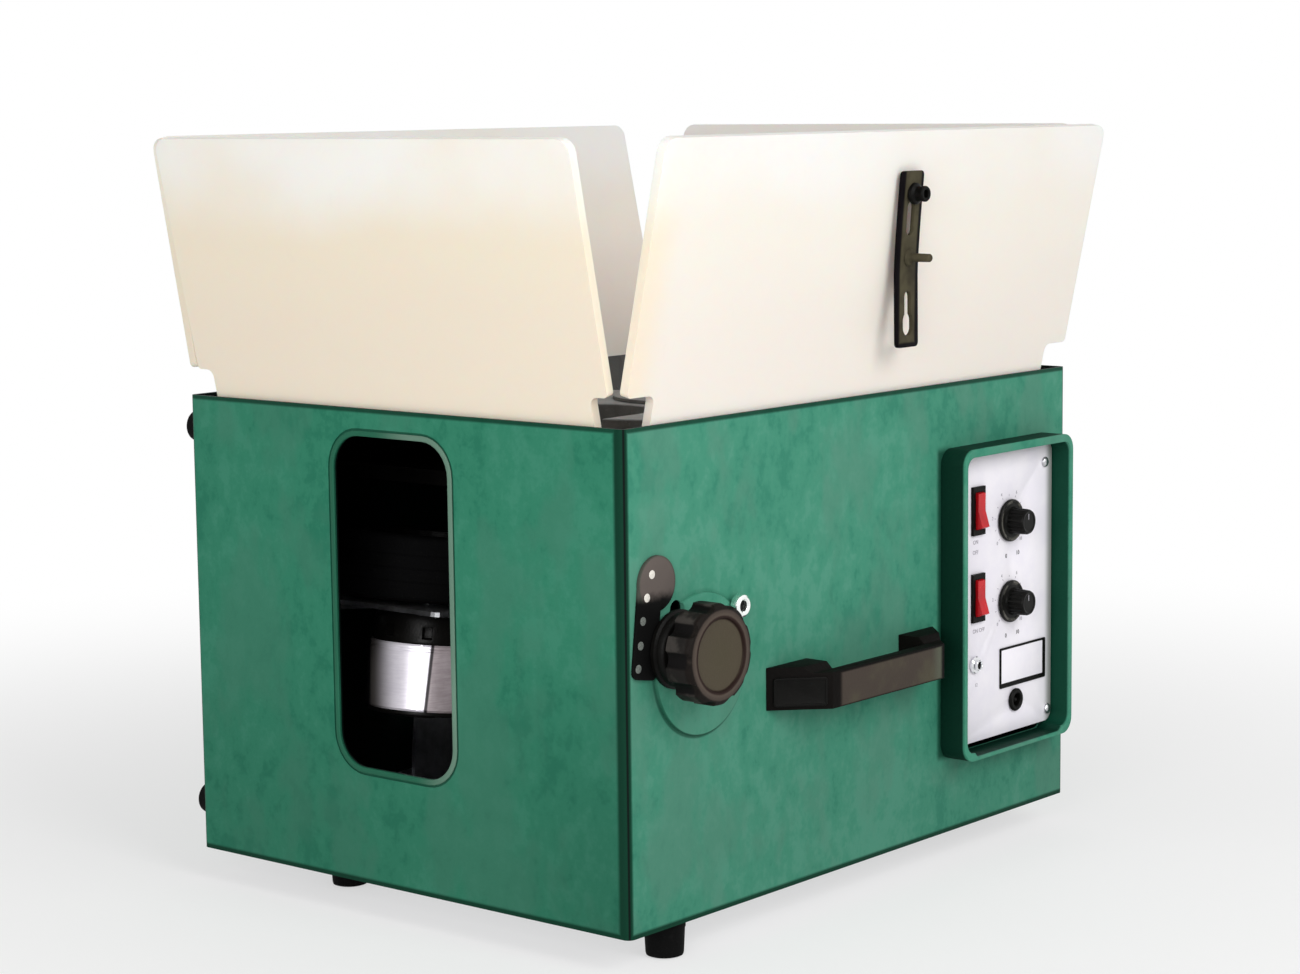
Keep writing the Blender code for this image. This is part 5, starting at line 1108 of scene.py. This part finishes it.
for side, way in (("left", -1), ("right", 1)):
    place = in_head(way * MOTOR_X, MOTOR_Y, 0)
    can = turned(f"motor_can_{side}", [
        (0.0300, CAN_LOW + 0.0006), (0.0360, CAN_LOW), (0.0375, CAN_LOW + 0.0015), (0.0375, CAN_TOP - 0.0050),
        (0.0370, CAN_TOP - 0.0044), (0.0370, CAN_TOP - 0.0032), (0.0375, CAN_TOP - 0.0026),
        (0.0375, CAN_TOP - 0.0012), (0.0366, CAN_TOP), (0.0300, CAN_TOP - 0.0006),
    ], 96)
    seam = block("seam", (0.0368, -0.0004, CAN_LOW - 0.001), (0.0400, 0.0004, CAN_TOP + 0.001))
    placed(seam, Matrix.Rotation(SEAM_ANGLE, 4, "Z"))
    cut(can, seam)
    done(can, motor_nickel, "throwing_head", "dull_steel", f"throwing_motor_{side}", smooth=30, at=place)

    upper_bell = turned("bell", [
        (0.0300, CAN_TOP - 0.0002), (0.0350, CAN_TOP - 0.0002), (0.0353, -0.0300), (0.0353, -0.0160),
        (0.0340, -0.0120), (0.0260, -0.0100), (0.0250, -0.0095),
    ])
    lower_bell = turned("bell", [
        (0.0110, -0.0830), (0.0120, -0.0826), (0.0120, -0.0812), (0.0180, -0.0806), (0.0340, -0.0798),
        (0.0358, -0.0788), (0.0358, CAN_LOW - 0.0002), (0.0300, CAN_LOW - 0.0002),
    ])
    vents = []
    for turn in range(VENTS):
        vent = block("vent", (0.020, -0.0035, -0.0280), (0.045, 0.0035, -0.0200))
        vents.append(placed(vent, Matrix.Rotation(2 * pi * turn / VENTS, 4, "Z")))
    cut(upper_bell, joined("vents", vents))
    bells = softened(joined(f"motor_bells_{side}", [upper_bell, lower_bell]), 0.0004, 2, 40)
    done(bells, black_plastic, "throwing_head", "black_plastic", f"throwing_motor_{side}", at=place)

    shaft_profile = [(0.0048, -0.0094), (0.0050, -0.0090), (0.0050, 0.0292), (0.0044, 0.0300)]
    shaft = turned(f"motor_shaft_{side}", shaft_profile, 32)
    done(shaft, steel, "throwing_head", "dull_steel", f"throwing_motor_{side}", at=place)

# %% [markdown]
# ## Throwing tyres
#
# Each wheel carries a solid rubber tyre. An open tube with a Solidify modifier makes the ring, a bevel
# rounds its shoulders, and three thin hoops cut the grooves that grip the ball. The tyre turns with its
# wheel, so it rides on the wheel's body.

# %% Tyres
TYRE_RADIUS, TYRE_TALL, TYRE_LOW, TYRE_WALL = 0.065, 0.044, -0.002, 0.015
GROOVES = (0.3, 0.5, 0.7)

for side, way in (("left", -1), ("right", 1)):
    tyre = rod(f"tyre_{side}", TYRE_RADIUS, TYRE_LOW, TYRE_LOW + TYRE_TALL, 96, ends="NOTHING")
    shaped(tyre, "SOLIDIFY", thickness=TYRE_WALL, offset=-1, use_even_offset=True)
    softened(tyre, 0.004, 4, 60)
    hoops = []
    for share in GROOVES:
        height = TYRE_LOW + TYRE_TALL * share
        hoop = rod("hoop", TYRE_RADIUS + 0.002, height - 0.0006, height + 0.0006, 96, ends="NOTHING")
        hoops.append(shaped(hoop, "SOLIDIFY", thickness=0.003, offset=-1))
    cut(tyre, joined("hoops", hoops))
    place = in_head(way * MOTOR_X, MOTOR_Y, 0)
    done(tyre, tyre_rubber, f"{side}_wheel", "dark_tyre", f"wheel_tyre_{side}", at=place)

# %% [markdown]
# ## Feet
#
# Four rubber feet stand under the casing and four on its left wall, so that the machine can also be laid
# on its side. They are all alike: a tapered bumper with a rounded tip, a moulded collar at its root and a
# sunken screw hole. Each is turned to the size of its own CAD node.

# %% Rubber feet
FOOT_TIP, SIDE_TIP = 0.0118, 0.0108


def bumper(name, root, tip, height):
    """A bumper along Z: its tip at 0, its root at the height, with the screw hole in its tip."""
    return turned(name, [
        (0.0010, 0.0050), (0.0040, 0.0050), (0.0042, 0.0004), (0.0050, 0.0000), (tip - 0.0018, 0.0000),
        (tip - 0.0004, 0.0005), (tip, 0.0018), (root - 0.0004, height - 0.0045), (root, height - 0.0038),
        (root, height - 0.0008), (root - 0.0008, height),
    ], 48)


for corner in ("front_left", "front_right", "rear_left", "rear_right"):
    low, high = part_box(f"foot_{corner}")
    foot = bumper(f"bumper_{corner}", (high.x - low.x) / 2, FOOT_TIP, high.z - low.z)
    place = Matrix.Translation(((low.x + high.x) / 2, (low.y + high.y) / 2, low.z))
    done(foot, foot_rubber, "machine", "black_rubber", f"foot_{corner}", at=place)

for corner in ("front_lower", "front_upper", "rear_lower", "rear_upper"):
    low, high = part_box(f"side_foot_{corner}")
    foot = bumper(f"side_bumper_{corner}", (high.z - low.z) / 2, SIDE_TIP, high.x - low.x)
    place = Matrix.Translation((low.x, (low.y + high.y) / 2, (low.z + high.z) / 2))
    place = place @ Matrix.Rotation(pi / 2, 4, "Y")
    done(foot, foot_rubber, "machine", "black_rubber", f"side_foot_{corner}", at=place)

# %% [markdown]
# ## The control box and its plate
#
# The control box is a shallow green tray with a ledge inside, on which the white control plate lies. Two
# slabs with round corners, one cut from the other, make the tray; a third cuts the opening behind the
# ledge. A bevel rounds the rim. The plate is a slab with openings for what sits in it, and a gap of a
# millimetre or two round it shows as a dark line.

# %% Box and plate
PLATE_FACE = rise("control_plate")
PLATE_BACK = PLATE_FACE - 0.0015
BOX_OUT, BOX_AT, BOX_CORNER = (0.1335, 0.2107), (0.15175, 0.15615), 0.011
BOX_IN, BOX_IN_AT = (0.1275, 0.2000), (0.15195, 0.15625)
PLATE_SIZE, PLATE_AT, PLATE_CORNER = (0.1250, 0.1975), (0.15125, 0.15705), 0.0075
SWITCHES, SWITCH_WIDE, SWITCH_TALL = ((0.120, 0.217), (0.120, 0.1576)), 0.0122, 0.0289
DIALS = {"upper": (0.1595, 0.206), "lower": (0.160, 0.150)}
JACK, SOCKET = (0.117, 0.112), (0.167, 0.080)
HOLES = ((DIALS["upper"], 0.0048), (DIALS["lower"], 0.0048), (JACK, 0.0037), (SOCKET, 0.0057))


def on_plate(y, z, proud=0.0):
    """A place on the face of the control plate."""
    return on_right(y, z, PLATE_FACE + proud)


tray = slab("box_tray", *BOX_OUT, BOX_CORNER, CLEAR, BOX_RISE, BOX_AT)
cut(tray, slab("recess", *BOX_IN, BOX_CORNER - 0.003, PLATE_BACK, 0.05, BOX_IN_AT))
cut(tray, slab("through", *HATCH, 0.006, -0.01, 0.05, BOX_MIDDLE))
softened(tray, 0.0014, 3, 50)
done(tray, box_green, "machine", "green_casing", "control_box", at=on_right(0, 0))

plate = slab("control_plate_face", *PLATE_SIZE, PLATE_CORNER, PLATE_BACK + 0.0001, PLATE_FACE, PLATE_AT)
for at in SWITCHES:
    cut(plate, slab("hole", SWITCH_WIDE, SWITCH_TALL, 0, -0.01, 0.02, at))
for at, radius in HOLES:
    cut(plate, rod("hole", radius, -0.01, 0.02, 40, at))
softened(plate, 0.0003, 2, 50)
done(plate, white_enamel, "machine", "white_plate", "control_plate", at=on_right(0, 0))

# %% [markdown]
# ## Control dials
#
# Each dial is a fluted knob on a round skirt. The skirt is turned with a raised ring on its edge, and the
# grip is a slightly tapered rod cut by a ring of fine rods. A pale line on the face points at the numbers
# printed on the plate.

# %% Dials
FLUTES, FLUTE_RADIUS, FLUTE_REACH = 18, 0.0009, 0.0091


def dial_paint(place):
    """Glossy black, with a paler painted highlight in patches on the skirts' edges."""
    x, y, z = place.axes()
    wear = place.noise(160, 3, 0.6)
    rings = []
    for dial_y, dial_z in DIALS.values():
        out = (y - dial_y).far(z - dial_z - FEET)
        rings.append(out.fade(0.0112, 0.0124) * out.fade(0.0142, 0.0134))
    on_skirt = x.fade(PLATE_FACE + HALF_WIDTH + 0.006, PLATE_FACE + HALF_WIDTH + 0.005)
    # Painted highlight: paler patches on the skirts' edges.
    rubbed = rings[0].most(rings[1]) * wear.fade(0.42, 0.60) * on_skirt
    colour = rubbed.mix((0.0035, 0.0035, 0.0030), (0.110, 0.105, 0.090))
    return colour, 0.34 + wear * 0.15


dial_black = finish("dial_black", dial_paint, Specular_IOR_Level=0.12)
for level, (y, z) in DIALS.items():
    skirt = turned(f"dial_{level}", [
        (0.0138, 0.0006), (0.0145, 0.0011), (0.0145, 0.0026), (0.0138, 0.0033), (0.0126, 0.0033),
        (0.0118, 0.0027), (0.0096, 0.0034), (0.0091, 0.0044), (0.0086, 0.0150), (0.0080, 0.0163),
        (0.0074, 0.0165), (0.0064, 0.0162), (0.0060, 0.0159),
    ], 72)
    flutes = [rod("flute", FLUTE_RADIUS, 0.0052, 0.0175, 12, at) for at in around(FLUTES, FLUTE_REACH)]
    cut(skirt, joined("flutes", flutes))
    cut(skirt, rod("bore", 0.0033, -0.001, 0.0123, 32))
    done(skirt, dial_black, f"{level}_dial", "black_plastic", f"dial_knob_{level}", at=on_plate(y, z))

    line = block(f"pointer_{level}", (-0.0003, 0.0015, 0.0158), (0.0003, 0.0056, 0.0161))
    softened(line, 0.00012, 2, 40)
    done(line, grey_ink, f"{level}_dial", "white_plate", at=on_plate(y, z))

# %% [markdown]
# ## Printing on the control plate
#
# The plate carries faint plain numbers and ticks round each dial, ON and OFF under the switches, and a
# bare nameplate in a black frame. Text objects are turned into meshes, given a hair's thickness and laid
# on the plate, so they stay sharp.


# %% Ticks and numbers
def printed(words, size, y, z):
    """Words as a thin raised print, centred on a point of the plate."""
    deselect()
    bpy.ops.object.text_add()
    text = bpy.context.object
    text.data.body = words
    text.data.size = size
    text.data.align_x = "CENTER"
    text.data.align_y = "CENTER"
    text.data.extrude = 0.00006
    text.data.resolution_u = 3
    bpy.ops.object.convert(target="MESH")
    return placed(bpy.context.object, on_plate(y, z, 0.0001))


FIRST_TURN, TURN_STEP, NUMBER_REACH = radians(225), radians(27), 0.0205
WORDS = (
    ("ON", 0.0040, 0.1185, 0.1955), ("OFF", 0.0040, 0.1185, 0.1885), ("ON OFF", 0.0040, 0.1225, 0.1346),
    ("12", 0.0034, 0.1196, 0.0975),
)
DIAL_ENDS = (("0", 0.1560, 0.1815), ("10", 0.1705, 0.1822), ("0", 0.1560, 0.1262), ("10", 0.1705, 0.1268))
faint = []
for y, z in DIALS.values():
    for step in range(11):
        turn = FIRST_TURN - TURN_STEP * step
        tick = block("tick", (0.0166, -0.0002, 0.00003), (0.0180, 0.0002, 0.00016))
        faint.append(placed(tick, on_plate(y, z) @ Matrix.Rotation(turn, 4, "Z")))
        if step % 2 == 0:
            at = (y + NUMBER_REACH * cos(turn), z + NUMBER_REACH * sin(turn))
            faint.append(printed(str(step), 0.0034, *at))
faint += [printed(*words) for words in WORDS]
done(joined("plate_print", faint), grey_ink, "machine", "black_plastic", smooth=20)
dark = [printed(number, 0.0042, y, z) for number, y, z in DIAL_ENDS]
done(joined("dial_ends_print", dark), black_ink, "machine", "black_plastic", smooth=20)

# %% Bare nameplate
NAME_AT, NAME_SIZE = (0.1765, 0.1042), (0.0570, 0.0280)
name_plate = slab("bare_nameplate", *NAME_SIZE, 0.0008, 0.0002, 0.0010, segments=2)
sunk(name_plate, 0.0015, 0.0004)
softened(name_plate, 0.0002, 2, 40)
done(name_plate, black_plastic, "machine", "black_plastic", at=on_plate(*NAME_AT))
name_field = block("nameplate_field", (-0.0272, -0.0108, 0.0004), (0.0250, 0.0127, 0.0008))
softened(name_field, 0.0002, 2, 40)
done(name_field, white_enamel, "machine", "white_plate", at=on_plate(*NAME_AT))

# %% [markdown]
# ## Jack, socket and screws
#
# The remote jack is a threaded chrome bush with a round nut and a black bore, and the charging socket a
# black ring round a deep hole with a pin. Four pan-head screws hold the plate. Two thin blocks cut the
# cross slot in one, and its copies go to the four places.

# %% Jack and socket
jack = turned("jack_bush", [
    (0.0034, -0.0125), (0.0036, -0.0120), (0.0036, 0.0004), (0.0056, 0.0004), (0.0058, 0.0010),
    (0.0058, 0.0020), (0.0054, 0.0025), (0.0037, 0.0026), (0.0036, 0.0030), (0.0036, 0.0046),
    (0.0033, 0.0050), (0.0029, 0.0050), (0.0027, 0.0047), (0.0026, 0.0020), (0.0003, 0.0016),
], 40)
done(jack, chrome, "machine", "chrome", "remote_jack", at=on_plate(*JACK))
bore = turned("jack_bore", [
    (0.0004, 0.0017), (0.0025, 0.0021), (0.0025, 0.0036), (0.0014, 0.0030), (0.0004, 0.0022),
], 32)
done(bore, black_ink, "machine", "black_plastic", "remote_jack", at=on_plate(*JACK))

socket = turned("socket_ring", [
    (0.0052, -0.0138), (0.0056, -0.0134), (0.0056, 0.0003), (0.0074, 0.0003), (0.0079, 0.0008),
    (0.0079, 0.0018), (0.0070, 0.0027), (0.0050, 0.0027), (0.0044, 0.0020), (0.0042, -0.0048),
    (0.0016, -0.0050), (0.0015, 0.0008), (0.0010, 0.0014), (0.0002, 0.0015),
], 48)
done(socket, black_plastic, "machine", "black_plastic", "charge_socket", at=on_plate(*SOCKET))

# %% Plate screws
SCREWS = ((0.2040, 0.2416), (0.2085, 0.0668), (0.0965, 0.2440), (0.0965, 0.0640))
screw = turned("plate_screw", [
    (0.0034, 0.0000), (0.0036, 0.0004), (0.0035, 0.0011), (0.0029, 0.0018), (0.0018, 0.0022),
    (0.0004, 0.0023),
], 32)
cross = joined("cross", [
    block("slot", (-0.0019, -0.00035, 0.0011), (0.0019, 0.00035, 0.0030)),
    block("slot", (-0.00035, -0.0019, 0.0011), (0.00035, 0.0019, 0.0030)),
])
cut(screw, cross)
for number, at in enumerate(SCREWS):
    done(copied(screw, f"plate_screw_{number}", on_plate(*at)), steel, "machine", "dull_steel")
bpy.data.objects.remove(screw)

# %% [markdown]
# ## The latch strap and its button
#
# A thin slotted strap hangs from a button on the hopper's right panel, with a pull peg across its middle.
# It is a soft moulding, so it follows the panel's slope only near the button and hangs plumb below it.
# The strap is drawn flat as a slab, its slots and keyhole are cut, a row of cuts with bisect gives it
# edges to bend at, and then each point moves out by the curve of its height. The button is turned.

# %% Latch strap
STRAP_LOW, STRAP_HIGH, STRAP_WIDE, STRAP_THICK = 0.3356, 0.4480, 0.0226, 0.0030
STRAP_LONG, STRAP_MIDDLE = STRAP_HIGH - STRAP_LOW, (STRAP_LOW + STRAP_HIGH) / 2
PEG_AT, BUTTON_AT = (0.0143, 0.3930), (0.0098, 0.4335)
BEND_FROM, BENDS = 0.42, 12
STRAP_SLOTS = ((0.4070, 0.4290, 0.0078), (0.3490, 0.3715, 0.0072))


def hang(z):
    """How far the strap's back stands from the wall's face and how far it drifts, at a height."""
    share = (z - STRAP_LOW) / STRAP_LONG
    bend = max(0.0, share - BEND_FROM) / (1 - BEND_FROM)
    return 0.0190 + 0.0016 * share + 0.0092 * bend ** 1.15, 0.0158 - 0.0030 * share - 0.0052 * bend


def strap_paint(place):
    """An olive black face between black edges, whose middle drifts with the height."""
    _, y, z = place.axes()
    drift = place.noise(45, 3, 0.6)
    low, high = FEET + STRAP_LOW, FEET + STRAP_HIGH
    ends = {"From Min": low + 0.047, "From Max": high, "To Min": 0.0143, "To Max": 0.0078}
    middle_y = z.node("ShaderNodeMapRange", {"Value": z, **ends})
    edge = abs(y - middle_y).fade(0.0072, 0.0095).most(z.fade(low + 0.004, low + 0.002))
    face = drift.ramp((0.35, (0.040, 0.034, 0.022)), (0.65, (0.075, 0.066, 0.040)))
    return edge.mix(face, (0.003, 0.002, 0.003)), 0.55 + drift * 0.1


strap = slab("latch_strap_band", STRAP_WIDE, STRAP_LONG, 0.003, 0, STRAP_THICK, (0, STRAP_MIDDLE), segments=4)
for low, high, wide in STRAP_SLOTS:
    cut(strap, slab("slot", wide, high - low, wide * 0.49, -0.01, 0.02, (0, (low + high) / 2), segments=5))
cut(strap, slab("keyhole", 0.0108, 0.0150, 0.0052, -0.01, 0.02, (0, 0.3505), segments=5))
for step in range(1, BENDS):
    open_faces(strap, lambda face: True)
    height = STRAP_LOW + STRAP_LONG * step / BENDS
    bpy.ops.mesh.bisect(plane_co=(0, height, 0), plane_no=(0, 1, 0))
    bpy.ops.object.mode_set(mode="OBJECT")
for point in strap.data.vertices:
    out, drift = hang(point.co.y)
    point.co.z += out
    point.co.x += drift
softened(strap, 0.0007, 2, 40)
placed(strap, on_right(0, 0))

peg_out = hang(PEG_AT[1])[0]
peg = turned("peg", [
    (0.0050, peg_out + 0.0010), (0.0056, peg_out + 0.0036), (0.0050, peg_out + 0.0048),
    (0.0031, peg_out + 0.0052), (0.0028, peg_out + 0.0060), (0.0026, 0.0398), (0.0020, 0.0406),
    (0.0008, 0.0407),
], 40)
placed(peg, on_right(*PEG_AT))
strap = joined("latch_strap_band", [strap, peg])
done(strap, finish("strap_black", strap_paint, **DULL), "strap", "black_plastic", "latch_strap")

# %% Button
button_out = hang(BUTTON_AT[1])[0] + STRAP_THICK
button = turned("strap_button", [
    (0.0036, button_out - 0.0075), (0.0038, button_out + 0.0003), (0.0066, button_out + 0.0004),
    (0.0070, button_out + 0.0012), (0.0066, button_out + 0.0030), (0.0048, button_out + 0.0042),
    (0.0044, 0.0372), (0.0050, 0.0384), (0.0050, 0.0398), (0.0044, 0.0406), (0.0032, 0.0406),
    (0.0027, 0.0400), (0.0026, 0.0376), (0.0004, 0.0374),
], 48)
done(button, black_plastic, "hopper", "black_plastic", "latch_button", at=on_right(*BUTTON_AT))
